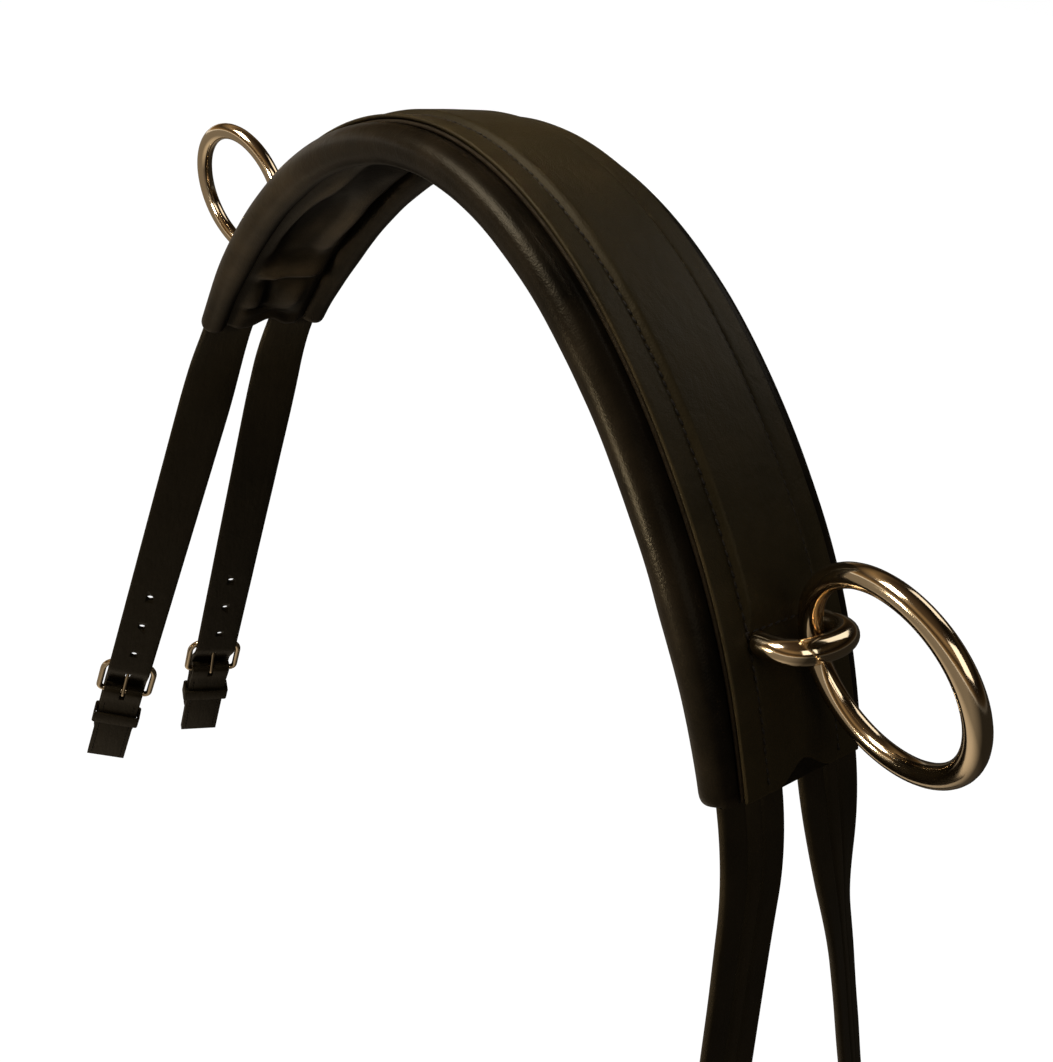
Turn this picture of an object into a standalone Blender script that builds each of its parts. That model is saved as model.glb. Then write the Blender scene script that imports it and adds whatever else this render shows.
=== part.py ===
"""Padded neck strap of a driving harness, built as separate pieces.

The strap arches over the neck in the XZ plane. Right is +X, the front edge is -Y, up is +Z.
The origin is on the mid plane, at the level of the pad's underside on top of the neck.
"""
import math

import bmesh
import bpy
from mathutils import Vector

MM = 0.001

# Clearance between pieces that touch, and how far a cutter runs past what it cuts
SEAT_GAP = 0.3 * MM
CUTTER_OVERRUN = 3.0 * MM

# The arch: one leg from the crown to the pad's end, bent as a hand would bend the pad
LEG_LENGTH = 255.0 * MM
LEG_END_ANGLE = math.radians(53.4)
LEG_TURN_POWER = 1.84
END_BEND_START = 165.0 * MM
END_BEND_LEFT = math.radians(5.0)
END_BEND_RIGHT = math.radians(10.0)
STATION_STEP = 20.0 * MM
ARCH_STEPS = 800

# Base strap and its cover, sewn together and raised over a filler
BASE_HALF_WIDTH = 26.4 * MM
BASE_THICKNESS = 1.8 * MM
COVER_THICKNESS = 1.5 * MM
COVER_EDGE_BEVEL = 0.5 * MM
STITCH_FROM_MIDDLE = 16.5 * MM
STITCH_GROOVE_DEPTH = 0.4 * MM
STITCH_GROOVE_HALF_WIDTH = 1.3 * MM
PANEL_RISE = 1.7 * MM
PANEL_CROWN = 0.3 * MM
PANEL_SHOULDER = 2.4 * MM
SCALLOP_DEPTH = 6.0 * MM
SCALLOP_HALF_WIDTH = 12.0 * MM

# Lining: a leather skin round a foam core, with a round roll along each edge
ROLL_RADIUS = 7.5 * MM
ROLL_BESIDE_BASE = 3.3 * MM
ROLL_DROP = 6.8 * MM
ROLL_END_DROP = 5.2 * MM
ROLL_END_RADIUS = 6.2 * MM
ROLL_END_BESIDE_BASE = 2.6 * MM
ROLL_TAPER_LENGTH = 66.0 * MM
LINING_THICKNESS = 1.2 * MM
LINING_LIP = 2.2 * MM
PANEL_UNDER_DEPTH = 9.2 * MM
CREASE_DEPTH = 7.4 * MM
CREASE_BESIDE_ROLL = 7.0 * MM
PUCKER_DEPTH = 0.7 * MM
PUCKER_LENGTH = 62.0 * MM
PANEL_ROW_SHARES = (0.62, 0.3)
PANEL_DOME_SHARE = 0.12
ROLL_DEGREES = (105, 55, 5, -45, -90, -130)
FOAM_FROM_END = 15.0 * MM
FOAM_SLACK = 0.8 * MM
MOUTH_LENGTH = 7.0 * MM
MOUTH_SIDE_GAP = 0.6 * MM

# Ring, the staple that it hangs in, and the staple's plate and burrs
RING_BORE_RADIUS = 27.0 * MM
RING_WIRE_RADIUS = 3.75 * MM
RING_SIDES = 10
RING_STEPS = 48
STAPLE_FROM_END = 46.0 * MM
STAPLE_REACH_DOWN = 4.5 * MM
STAPLE_HALF_SPAN = 13.8 * MM
STAPLE_APEX_RADIUS = 4.3 * MM
STAPLE_FOOT_RADIUS = 2.5 * MM
STAPLE_PIN_RADIUS = 1.9 * MM
RING_ABOVE_COVER = 3.0 * MM
STAPLE_STEPS = 14
STAPLE_SIDES = 10
RING_PLAY_IN_STAPLE = 1.0 * MM
STAPLE_SHOULDER_POWER = 0.7
PLATE_LENGTH = 15.0 * MM
PLATE_THICKNESS = 1.4 * MM
PLATE_HALF_WIDTH = 19.5 * MM
BURR_THICKNESS = 1.3 * MM
BURR_RADIUS = 3.6 * MM
PANEL_TAPER = 4.0 * MM

# Each ring as it rests: how far it has slid to the rear in its staple, how far it leans to the front,
# how far it droops down the leg, and how far it is turned about its own middle
RING_POSES = {
    -1: (0.0 * MM, math.radians(17.0), math.radians(-14.0), math.radians(0.0)),
    1: (3.0 * MM, math.radians(11.0), math.radians(14.0), math.radians(12.0)),
}

# Hanging straps, sewn into the pad's mouth and swinging where they leave it
STRAP_WIDTH = 28.0 * MM
STRAP_THICKNESS = 3.0 * MM
STRAP_EDGE_BEVEL = 0.7 * MM
STRAP_FROM_MIDDLE = 18.2 * MM
SWING_PAST_END = 2.5 * MM
BEND_LENGTH = 40.0 * MM
TWIST_LENGTH = 75.0 * MM
HANG_ANGLE = math.radians(14.0)
BUCKLE_DISTANCE = 305.0 * MM
TAIL_LENGTH = 74.0 * MM
POINT_LENGTH = 19.0 * MM
POINT_HALF_WIDTH = 4.5 * MM
HOLE_RADIUS = 2.3 * MM
HOLE_SPACING = 28.0 * MM
HOLES_ABOVE = 3
HOLES_BELOW = 1
HOLE_SIDES = 8

# Each strap: its side, the edge it is sewn to, how far it leans towards +Y, how far its rear edge turns in
STRAPS = {
    "left_front": (-1, -1, math.radians(-8.0), math.radians(28.0)),
    "left_rear": (-1, 1, math.radians(-2.5), math.radians(16.0)),
    "right_front": (1, -1, math.radians(-4.7), math.radians(4.0)),
    "right_rear": (1, 1, math.radians(13.4), math.radians(28.0)),
}

# Buckle at the foot of each strap
BUCKLE_WIRE_RADIUS = 2.0 * MM
BUCKLE_HALF_LENGTH = 14.5 * MM
BUCKLE_SIDE_CLEARANCE = 0.9 * MM
BUCKLE_TOP_CORNER = 9.0 * MM
BUCKLE_HEEL_CORNER = 3.5 * MM
BUCKLE_SIDES = 8
TONGUE_RADIUS = 1.2 * MM
TONGUE_SIDES = 8
TONGUE_PAST_BAR = 2.6 * MM
TONGUE_SIDE_CLEARANCE = 0.5 * MM
TONGUE_PLAY = math.radians(5.0)
TONGUE_REACH_SHARE = 0.8
CHAPE_WIDTH = 26.0 * MM
CHAPE_THICKNESS = 2.2 * MM
CHAPE_LENGTH = 72.0 * MM
CHAPE_JOINED_BELOW_BAR = 13.0 * MM
CHAPE_SEAT_TILT = 0.9 * MM
KEEPER_WIDTH = 10.0 * MM
KEEPER_THICKNESS = 1.6 * MM
KEEPER_CORNER = 1.2 * MM
KEEPER_BELOW_BAR = 24.0 * MM
KEEPER_TO_SEAT = 3.0 * MM

# Places that follow from the sizes above; heights are out from the underside of the base strap
STAPLE_STATION = LEG_LENGTH - STAPLE_FROM_END
PLATE_START = STAPLE_STATION - PLATE_LENGTH / 2
PLATE_END = STAPLE_STATION + PLATE_LENGTH / 2
FILLER_END = PLATE_START - PANEL_TAPER
FOAM_END = LEG_LENGTH - FOAM_FROM_END
MOUTH_START = LEG_LENGTH - MOUTH_LENGTH
COVER_UNDER = BASE_THICKNESS + SEAT_GAP
COVER_TOP = COVER_UNDER + COVER_THICKNESS
ROLL_MIDDLE = BASE_HALF_WIDTH + ROLL_BESIDE_BASE
ROLL_END_MIDDLE = BASE_HALF_WIDTH + ROLL_END_BESIDE_BASE
ROLL_BOTTOM = -ROLL_DROP - ROLL_RADIUS
LIP_UNDER = -SEAT_GAP - LINING_THICKNESS
ROOT_TOP = LIP_UNDER - SEAT_GAP
ROOT_UNDER = ROOT_TOP - STRAP_THICKNESS
MOUTH_FLOOR = ROOT_UNDER - SEAT_GAP
SWING_OUT = ROOT_TOP - STRAP_THICKNESS / 2
SWING_STATION = LEG_LENGTH + SWING_PAST_END
PLATE_TOP = -SEAT_GAP
PLATE_UNDER = PLATE_TOP - PLATE_THICKNESS
BURR_TOP = PLATE_UNDER - SEAT_GAP
BURR_UNDER = BURR_TOP - BURR_THICKNESS
RING_CENTRE_RADIUS = RING_BORE_RADIUS + RING_WIRE_RADIUS
RING_OUT = COVER_TOP + RING_ABOVE_COVER + RING_WIRE_RADIUS
STAPLE_APEX_OUT = RING_OUT + RING_WIRE_RADIUS + RING_PLAY_IN_STAPLE + STAPLE_APEX_RADIUS
BILLET_BEHIND_BAR = -(BUCKLE_WIRE_RADIUS + SEAT_GAP + STRAP_THICKNESS / 2)
TONGUE_COIL_RADIUS = BUCKLE_WIRE_RADIUS + SEAT_GAP + TONGUE_RADIUS
CHAPE_FOLD_RADIUS = BUCKLE_WIRE_RADIUS + SEAT_GAP + CHAPE_THICKNESS / 2
HEEL_REACH = max(TONGUE_COIL_RADIUS + TONGUE_RADIUS, CHAPE_FOLD_RADIUS + CHAPE_THICKNESS / 2)
BILLET_OVER_HEEL = HEEL_REACH + SEAT_GAP + STRAP_THICKNESS / 2
CHAPE_LEG_OUT = (SEAT_GAP + CHAPE_THICKNESS) / 2
CHAPE_FACE = CHAPE_LEG_OUT + CHAPE_THICKNESS / 2
TAIL_OUT = CHAPE_FACE + SEAT_GAP + STRAP_THICKNESS / 2
TONGUE_TIP_OUT = BUCKLE_WIRE_RADIUS + SEAT_GAP + TONGUE_RADIUS


def clear_scene():
    """Remove the objects that the file opened with."""
    for obj in list(bpy.data.objects):
        bpy.data.objects.remove(obj, do_unlink=True)


def make_material(name, colour, roughness, metallic=0.0):
    """A plain Principled material."""
    material = bpy.data.materials.new(name)
    material.use_nodes = True
    shader = material.node_tree.nodes["Principled BSDF"]
    shader.inputs["Base Color"].default_value = (*colour, 1.0)
    shader.inputs["Roughness"].default_value = roughness
    shader.inputs["Metallic"].default_value = metallic
    return material


def smooth(share):
    """Ease from 0 to 1."""
    share = min(max(share, 0.0), 1.0)
    return share * share * (3 - 2 * share)


def leg_angle(station, side):
    """How far a leg has turned down at this distance from the crown."""
    share = min(station / LEG_LENGTH, 1.0)
    bend = END_BEND_RIGHT if side > 0 else END_BEND_LEFT
    late = smooth((station - END_BEND_START) / (LEG_LENGTH - END_BEND_START))
    return LEG_END_ANGLE * (1 - (1 - share) ** LEG_TURN_POWER) + bend * late


def arch_line(side):
    """Points of one leg's reference line, at even steps, from the crown to the pad's end."""
    step = LEG_LENGTH / ARCH_STEPS
    across = 0.0
    height = -ROLL_BOTTOM
    points = [(across, height)]
    for index in range(ARCH_STEPS):
        angle = leg_angle((index + 0.5) * step, side)
        across += math.cos(angle) * step
        height -= math.sin(angle) * step
        points.append((across, height))
    return points


ARCH = {side: arch_line(side) for side in (-1, 1)}


def on_arch(station, side_y, out):
    """A point by its distance along the arch (+X leg positive), its place across, and its height out."""
    side = -1 if station < 0 else 1
    reach = abs(station)
    angle = leg_angle(reach, side)
    place = min(reach / LEG_LENGTH, 1.0) * ARCH_STEPS
    index = min(int(place), ARCH_STEPS - 1)
    share = place - index
    first = ARCH[side][index]
    second = ARCH[side][index + 1]
    across = first[0] * (1 - share) + second[0] * share
    height = first[1] * (1 - share) + second[1] * share
    past = max(reach - LEG_LENGTH, 0.0)
    across += past * math.cos(angle) + out * math.sin(angle)
    height += -past * math.sin(angle) + out * math.cos(angle)
    return Vector((side * across, side_y, height))


def leg_down(side):
    """Direction of a leg at its end."""
    angle = leg_angle(LEG_LENGTH, side)
    return Vector((side * math.cos(angle), 0.0, -math.sin(angle)))


def stations_between(first, last):
    """The shared stations of every piece on the arch, from first to last."""
    steps = round(FILLER_END / STATION_STEP)
    half = [FILLER_END * index / steps for index in range(steps + 1)]
    half += [PLATE_START, PLATE_END, (PLATE_END + FOAM_END) / 2, FOAM_END, MOUTH_START, LEG_LENGTH]
    line = [-value for value in reversed(half[1:])] + half
    tiny = SEAT_GAP / 10
    return [value for value in line if first - tiny <= value <= last + tiny]


def add_piece(name, mesh_data, material, origin=None, parent=None):
    """Make an object whose mesh was written in world places, with its own origin."""
    origin = origin or Vector()
    mesh = bpy.data.meshes.new(name)
    bmesh.ops.translate(mesh_data, verts=mesh_data.verts, vec=-origin)
    bmesh.ops.recalc_face_normals(mesh_data, faces=mesh_data.faces)
    if mesh_data.calc_volume(signed=True) < 0:
        bmesh.ops.reverse_faces(mesh_data, faces=mesh_data.faces)
    mesh_data.to_mesh(mesh)
    mesh_data.free()
    mesh.shade_smooth()
    mesh.set_sharp_from_angle(angle=math.radians(35))
    mesh.materials.append(material)
    obj = bpy.data.objects.new(name, mesh)
    bpy.context.scene.collection.objects.link(obj)
    obj.location = origin
    if parent:
        obj.parent = parent
        obj.location = origin - parent.location
    return obj


def add_pivot(name, place):
    """An empty that marks a joint's axis."""
    empty = bpy.data.objects.new(name, None)
    bpy.context.scene.collection.objects.link(empty)
    empty.location = place
    empty.hide_render = True
    return empty


def cut(target, cutter):
    """Cut one object by another, which stays out of the build."""
    cutter.hide_render = True
    cutter.display_type = "WIRE"
    boolean = target.modifiers.new("cut_" + cutter.name, "BOOLEAN")
    boolean.operation = "DIFFERENCE"
    boolean.object = cutter
    boolean.solver = "EXACT"


def slab(rows, columns, place, is_open=None):
    """A sheet with thickness: place(row, column, face) gives a point, face 1 is the outer one."""
    mesh_data = bmesh.new()
    verts = {}
    for i, row in enumerate(rows):
        for j, column in enumerate(columns):
            for face in (0, 1):
                verts[i, j, face] = mesh_data.verts.new(place(row, column, face))
    cells = set()
    for i in range(len(rows) - 1):
        for j in range(len(columns) - 1):
            if is_open and is_open(i, j):
                continue
            cells.add((i, j))
    for i, j in cells:
        corners = ((i, j), (i + 1, j), (i + 1, j + 1), (i, j + 1))
        mesh_data.faces.new([verts[a, b, 1] for a, b in corners])
        mesh_data.faces.new([verts[a, b, 0] for a, b in reversed(corners)])
        beside = ((i, j - 1), (i + 1, j), (i, j + 1), (i - 1, j))
        for k in range(4):
            if beside[k] in cells:
                continue
            a = corners[k]
            b = corners[(k + 1) % 4]
            mesh_data.faces.new([verts[(*a, 0)], verts[(*b, 0)], verts[(*b, 1)], verts[(*a, 1)]])
    loose = [vert for vert in mesh_data.verts if not vert.link_faces]
    bmesh.ops.delete(mesh_data, geom=loose, context="VERTS")
    return mesh_data


def wall_cap(mesh_data, ring, outer_count):
    """Close the end of a bent wall: triangles between its outer and its inner line."""
    outer = ring[:outer_count]
    inner = ring[:outer_count - 1:-1]
    i = 0
    j = 0
    while i < len(outer) - 1 or j < len(inner) - 1:
        step_outer = step_inner = LEG_LENGTH
        if i < len(outer) - 1:
            step_outer = (outer[i + 1].co - inner[j].co).length
        if j < len(inner) - 1:
            step_inner = (outer[i].co - inner[j + 1].co).length
        if step_outer < step_inner:
            mesh_data.faces.new([outer[i], outer[i + 1], inner[j]])
            i += 1
        else:
            mesh_data.faces.new([outer[i], inner[j + 1], inner[j]])
            j += 1


def loft(loops, outer_count=0):
    """A closed skin through loops of points, capped at each end."""
    mesh_data = bmesh.new()
    rings = [[mesh_data.verts.new(point) for point in loop] for loop in loops]
    count = len(rings[0])
    for first, second in zip(rings, rings[1:]):
        for k in range(count):
            after = (k + 1) % count
            mesh_data.faces.new([first[k], first[after], second[after], second[k]])
    if outer_count:
        wall_cap(mesh_data, rings[0], outer_count)
        wall_cap(mesh_data, rings[-1], outer_count)
    else:
        mesh_data.faces.new(rings[0][::-1])
        mesh_data.faces.new(rings[-1])
    return mesh_data


def tube(points, radii, plane_normal, sides, closed=False):
    """A round bar along a flat path, capped at its ends unless it is closed."""
    loops = []
    last = len(points) - 1
    for i, point in enumerate(points):
        if closed:
            before = points[i - 1]
            after = points[(i + 1) % len(points)]
        else:
            before = points[max(i - 1, 0)]
            after = points[min(i + 1, last)]
        along = (after - before).normalized()
        beside = along.cross(plane_normal).normalized()
        loop = []
        for k in range(sides):
            angle = 2 * math.pi * (k + 0.5) / sides
            loop.append(point + radii[i] * (math.cos(angle) * beside + math.sin(angle) * plane_normal))
        loops.append(loop)
    if not closed:
        return loft(loops)
    mesh_data = bmesh.new()
    rings = [[mesh_data.verts.new(point) for point in loop] for loop in loops]
    for i in range(len(rings)):
        first = rings[i]
        second = rings[(i + 1) % len(rings)]
        for k in range(sides):
            after = (k + 1) % sides
            mesh_data.faces.new([first[k], first[after], second[after], second[k]])
    return mesh_data


def mirrored(half):
    """A list of places across the strap, from one edge to the other, from its half."""
    return [-value for value in reversed(half) if value > 0] + half


def end_station(station, side_y):
    """Pull the last station in between the two hanging straps, as the scalloped end does."""
    if abs(station) < LEG_LENGTH:
        return station
    share = max(1 - abs(side_y) / SCALLOP_HALF_WIDTH, 0.0)
    return math.copysign(LEG_LENGTH - SCALLOP_DEPTH * smooth(share), station)


def panel_share(station):
    """1 where the cover is raised over the filler, 0 where it lies flat on the base strap."""
    return 1.0 if abs(station) <= FILLER_END else 0.0


def rise_share(side_y):
    """1 over the filler and 0 outside the stitches."""
    return smooth((STITCH_FROM_MIDDLE - abs(side_y)) / PANEL_SHOULDER)


def panel_crown(side_y):
    """The filler's slight crown."""
    share = abs(side_y) / STITCH_FROM_MIDDLE
    return PANEL_CROWN * max(1 - share * share, 0.0)


def add_base_strap(material):
    """The flat strap that everything is sewn to."""
    half = [0.0, SCALLOP_HALF_WIDTH / 2, SCALLOP_HALF_WIDTH, BASE_HALF_WIDTH]

    def place(station, side_y, face):
        return on_arch(end_station(station, side_y), side_y, face * BASE_THICKNESS)

    mesh_data = slab(stations_between(-LEG_LENGTH, LEG_LENGTH), mirrored(half), place)
    return add_piece("base_strap", mesh_data, material)


def cover_columns():
    """Places across the cover: its crown, shoulders, stitch grooves and edges."""
    shoulder = STITCH_FROM_MIDDLE - PANEL_SHOULDER
    beside = STITCH_FROM_MIDDLE + STITCH_GROOVE_HALF_WIDTH
    half = [0.0, SCALLOP_HALF_WIDTH / 2, SCALLOP_HALF_WIDTH, shoulder, STITCH_FROM_MIDDLE, beside]
    half += [BASE_HALF_WIDTH - COVER_EDGE_BEVEL, BASE_HALF_WIDTH]
    return mirrored(half)


def add_top_cover(material):
    """The outer leather: flat margins, a stitch groove each side and the raised middle."""

    def place(station, side_y, face):
        raised = panel_share(station) * rise_share(side_y)
        out = COVER_UNDER + raised * (PANEL_RISE + panel_crown(side_y))
        if face:
            out += COVER_THICKNESS
            if abs(abs(side_y) - STITCH_FROM_MIDDLE) < STITCH_GROOVE_HALF_WIDTH:
                out -= STITCH_GROOVE_DEPTH
            if abs(side_y) == BASE_HALF_WIDTH:
                out -= COVER_EDGE_BEVEL
        return on_arch(end_station(station, side_y), side_y, out)

    mesh_data = slab(stations_between(-LEG_LENGTH, LEG_LENGTH), cover_columns(), place)
    return add_piece("top_cover", mesh_data, material)


def add_panel_filler(material):
    """The strip that raises the middle of the cover."""
    edge = STITCH_FROM_MIDDLE - PANEL_SHOULDER - SEAT_GAP
    half = [0.0, SCALLOP_HALF_WIDTH / 2, SCALLOP_HALF_WIDTH, edge]
    end = FILLER_END - FILLER_END / round(FILLER_END / STATION_STEP)

    def place(station, side_y, face):
        out = BASE_THICKNESS + SEAT_GAP
        if face:
            out += PANEL_RISE + panel_crown(side_y) - SEAT_GAP
        return on_arch(station, side_y, out)

    mesh_data = slab(stations_between(-end, end), mirrored(half), place)
    return add_piece("panel_filler", mesh_data, material)


def roll_taper(station):
    """0 along the pad and 1 at its end, where the rolls are drawn in."""
    return smooth((abs(station) - LEG_LENGTH + ROLL_TAPER_LENGTH) / ROLL_TAPER_LENGTH)


def roll_point(station, inset, degrees):
    """A point on an edge roll or inside it, as (across, out), by its angle from straight across."""
    taper = roll_taper(station)
    radius = ROLL_RADIUS + (ROLL_END_RADIUS - ROLL_RADIUS) * taper - inset
    middle = ROLL_MIDDLE + (ROLL_END_MIDDLE - ROLL_MIDDLE) * taper
    drop = ROLL_DROP + (ROLL_END_DROP - ROLL_DROP) * taper
    angle = math.radians(degrees)
    return middle + radius * math.cos(angle), radius * math.sin(angle) - drop


def crease_place(station):
    """Where the lining dips between a roll and its middle."""
    return ROLL_MIDDLE + (ROLL_END_MIDDLE - ROLL_MIDDLE) * roll_taper(station) - CREASE_BESIDE_ROLL


def pucker(station, side_y):
    """How far the lining's underside is drawn in or out along the pad."""
    share = max(1 - abs(side_y) / crease_place(station), 0.0)
    wave = math.sin(2 * math.pi * station / PUCKER_LENGTH + 2 * share)
    return PUCKER_DEPTH * share * wave


def lining_outer(station):
    """The outer line of the lining's section, from its right edge under to its left edge."""
    crease = crease_place(station)
    right = [(BASE_HALF_WIDTH - LINING_LIP, -SEAT_GAP), (BASE_HALF_WIDTH, -SEAT_GAP)]
    right += [roll_point(station, 0.0, degrees) for degrees in ROLL_DEGREES]
    right += [(crease, -CREASE_DEPTH)]
    for share in PANEL_ROW_SHARES:
        side_y = crease * share
        depth = PANEL_UNDER_DEPTH * (1 - PANEL_DOME_SHARE * share)
        right.append((side_y, pucker(station, side_y) - depth))
    left = [(-side_y, out) for side_y, out in reversed(right)]
    return right + [(0.0, pucker(station, 0.0) - PANEL_UNDER_DEPTH)] + left


def lining_inner(station):
    """The inner line of the lining's section, the same way round; near the ends it is the mouth."""
    edge = BASE_HALF_WIDTH - LINING_LIP
    crease = crease_place(station)
    if abs(station) >= MOUTH_START:
        wall = STRAP_FROM_MIDDLE + STRAP_WIDTH / 2 + MOUTH_SIDE_GAP
        right = [(edge, LIP_UNDER), (wall, LIP_UNDER), (wall, (LIP_UNDER + MOUTH_FLOOR) / 2)]
        right += [(side_y, MOUTH_FLOOR) for side_y in (wall, (edge + wall) / 2, edge)]
        middle = MOUTH_FLOOR
    else:
        right = [(edge, LIP_UNDER)]
        right += [roll_point(station, LINING_THICKNESS, degrees) for degrees in (60, 20, -40, -100)]
        right += [(crease, LINING_THICKNESS - CREASE_DEPTH)]
        middle = LINING_THICKNESS - PANEL_UNDER_DEPTH + PUCKER_DEPTH
    left = [(-side_y, out) for side_y, out in reversed(right)]
    return right + [(0.0, middle)] + left


def add_pad_lining(material):
    """The soft leather skin under the strap, with an edge roll each side and an open mouth at each end."""
    loops = []
    for station in stations_between(-LEG_LENGTH, LEG_LENGTH):
        section = lining_outer(station) + lining_inner(station)[::-1]
        loops.append([on_arch(station, side_y, out) for side_y, out in section])
    outer_count = len(lining_outer(0.0))
    return add_piece("pad_lining", loft(loops, outer_count), material)


def foam_loop(station):
    """The foam's section: a slab with a thick bead in each edge roll."""
    inset = LINING_THICKNESS + FOAM_SLACK
    neck = crease_place(station) + FOAM_SLACK
    deep = abs(station) > FILLER_END
    top = MOUTH_FLOOR if deep else LIP_UNDER - SEAT_GAP
    under = LINING_THICKNESS - CREASE_DEPTH + FOAM_SLACK
    middle_under = LINING_THICKNESS - PANEL_UNDER_DEPTH + PUCKER_DEPTH + FOAM_SLACK
    edge = BASE_HALF_WIDTH - LINING_LIP - SEAT_GAP
    half = [(edge, top)]
    if deep:
        half += [(STRAP_FROM_MIDDLE + STRAP_WIDTH / 2 + SEAT_GAP, top)]
    else:
        half += [roll_point(station, inset, 60)]
    half += [roll_point(station, inset, degrees) for degrees in (20, -40, -100)]
    half += [(neck, under), (0.0, middle_under)]
    left = [(-side_y, out) for side_y, out in reversed(half[:-1])]
    return [on_arch(station, side_y, out) for side_y, out in half + left]


def add_foam_core(material):
    """The foam inside the lining."""
    loops = [foam_loop(station) for station in stations_between(-FOAM_END, FOAM_END)]
    return add_piece("foam_core", loft(loops), material)


def staple_frame(side):
    """Where a staple stands: its place on the base strap, and the directions out and down the leg."""
    station = side * STAPLE_STATION
    angle = leg_angle(STAPLE_STATION, side)
    out = Vector((side * math.sin(angle), 0.0, math.cos(angle)))
    down = Vector((side * math.cos(angle), 0.0, -math.sin(angle)))
    return on_arch(station, 0.0, 0.0), out, down


def add_staple(name, side, material):
    """A round bar arched over the ring's wire, with a pin through the strap at each foot."""
    base, out, down = staple_frame(side)
    foot = COVER_TOP + SEAT_GAP
    across = Vector((0.0, 1.0, 0.0))
    rise = STAPLE_APEX_OUT - foot
    points = [(-STAPLE_HALF_SPAN, BURR_UNDER, STAPLE_PIN_RADIUS), (-STAPLE_HALF_SPAN, foot, STAPLE_PIN_RADIUS)]
    for index in range(STAPLE_STEPS + 1):
        angle = math.pi * index / STAPLE_STEPS
        radius = STAPLE_FOOT_RADIUS + (STAPLE_APEX_RADIUS - STAPLE_FOOT_RADIUS) * math.sin(angle)
        arch = max(math.sin(angle), 0.0) ** STAPLE_SHOULDER_POWER
        lift = foot + STAPLE_FOOT_RADIUS / 2 + (rise - STAPLE_FOOT_RADIUS / 2) * arch
        points.append((-STAPLE_HALF_SPAN * math.cos(angle), lift, radius))
    points += [(STAPLE_HALF_SPAN, foot, STAPLE_PIN_RADIUS), (STAPLE_HALF_SPAN, BURR_UNDER, STAPLE_PIN_RADIUS)]
    path = []
    for side_y, lift, radius in points:
        reach = STAPLE_REACH_DOWN * max(lift - foot, 0.0) / rise
        path.append(base + across * side_y + out * lift + down * reach)
    radii = [radius for side_y, lift, radius in points]
    return add_piece(name, tube(path, radii, down, STAPLE_SIDES), material)


def add_pin_cutter(name, side):
    """The two holes that a staple's pins pass through."""
    base, out, down = staple_frame(side)
    across = Vector((0.0, 1.0, 0.0))
    mesh_data = bmesh.new()
    radius = STAPLE_PIN_RADIUS + SEAT_GAP
    for hand in (-1, 1):
        centre = base + across * hand * STAPLE_HALF_SPAN
        ends = (centre + out * (BURR_UNDER - CUTTER_OVERRUN), centre + out * (COVER_TOP + CUTTER_OVERRUN))
        rings = []
        for end in ends:
            ring = []
            for k in range(STAPLE_SIDES):
                angle = 2 * math.pi * k / STAPLE_SIDES
                ring.append(mesh_data.verts.new(end + radius * (math.cos(angle) * across + math.sin(angle) * down)))
            rings.append(ring)
        for k in range(STAPLE_SIDES):
            after = (k + 1) % STAPLE_SIDES
            mesh_data.faces.new([rings[0][k], rings[0][after], rings[1][after], rings[1][k]])
        mesh_data.faces.new(rings[0][::-1])
        mesh_data.faces.new(rings[1])
    return add_piece(name, mesh_data, bpy.data.materials["leather_outer"])


def add_staple_plate(name, side, material):
    """The metal strip under the base strap that spreads the staple's pull."""
    half = [0.0, PLATE_HALF_WIDTH]
    ends = sorted((side * PLATE_START, side * PLATE_END))
    seats = [value for value in stations_between(*ends)]

    def place(station, side_y, face):
        inset = math.copysign(SEAT_GAP, station)
        shift = inset if abs(station) == PLATE_START else -inset
        return on_arch(station + shift, side_y, PLATE_TOP if face else PLATE_UNDER)

    return add_piece(name, slab(seats, mirrored(half), place), material)


def add_burr(name, side, hand, material):
    """The washer that a staple's pin is riveted over."""
    base, out, down = staple_frame(side)
    across = Vector((0.0, 1.0, 0.0))
    centre = base + across * hand * STAPLE_HALF_SPAN
    inner = STAPLE_PIN_RADIUS + SEAT_GAP
    mesh_data = bmesh.new()
    rings = []
    for radius, lift in ((inner, BURR_UNDER), (BURR_RADIUS, BURR_UNDER), (BURR_RADIUS, BURR_TOP), (inner, BURR_TOP)):
        ring = []
        for k in range(STAPLE_SIDES):
            angle = 2 * math.pi * k / STAPLE_SIDES
            spoke = math.cos(angle) * across + math.sin(angle) * down
            ring.append(mesh_data.verts.new(centre + out * lift + radius * spoke))
        rings.append(ring)
    for i in range(4):
        for k in range(STAPLE_SIDES):
            after = (k + 1) % STAPLE_SIDES
            first = rings[i]
            second = rings[(i + 1) % 4]
            mesh_data.faces.new([first[k], first[after], second[after], second[k]])
    return add_piece(name, mesh_data, material)


def add_ring(name, side, material):
    """The rein ring, standing out of its staple as in use."""
    base, out, down = staple_frame(side)
    across = Vector((0.0, 1.0, 0.0))
    aside, lean, droop, turn = RING_POSES[side]
    pivot = base + out * RING_OUT + down * STAPLE_REACH_DOWN + across * aside
    reach = math.cos(droop) * out + math.sin(droop) * down
    reach = math.cos(lean) * reach - math.sin(lean) * across
    along = (down - reach * down.dot(reach)).normalized()
    beside = reach.cross(along)
    along = math.cos(turn) * along + math.sin(turn) * beside
    normal = reach.cross(along)
    centre = pivot + reach * RING_CENTRE_RADIUS
    points = []
    for index in range(RING_STEPS):
        angle = 2 * math.pi * index / RING_STEPS
        points.append(centre + RING_CENTRE_RADIUS * (math.sin(angle) * along - math.cos(angle) * reach))
    radii = [RING_WIRE_RADIUS] * RING_STEPS
    parent = add_pivot(name + "_swing", pivot)
    return add_piece(name, tube(points, radii, normal, RING_SIDES, closed=True), material, pivot, parent)


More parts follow.
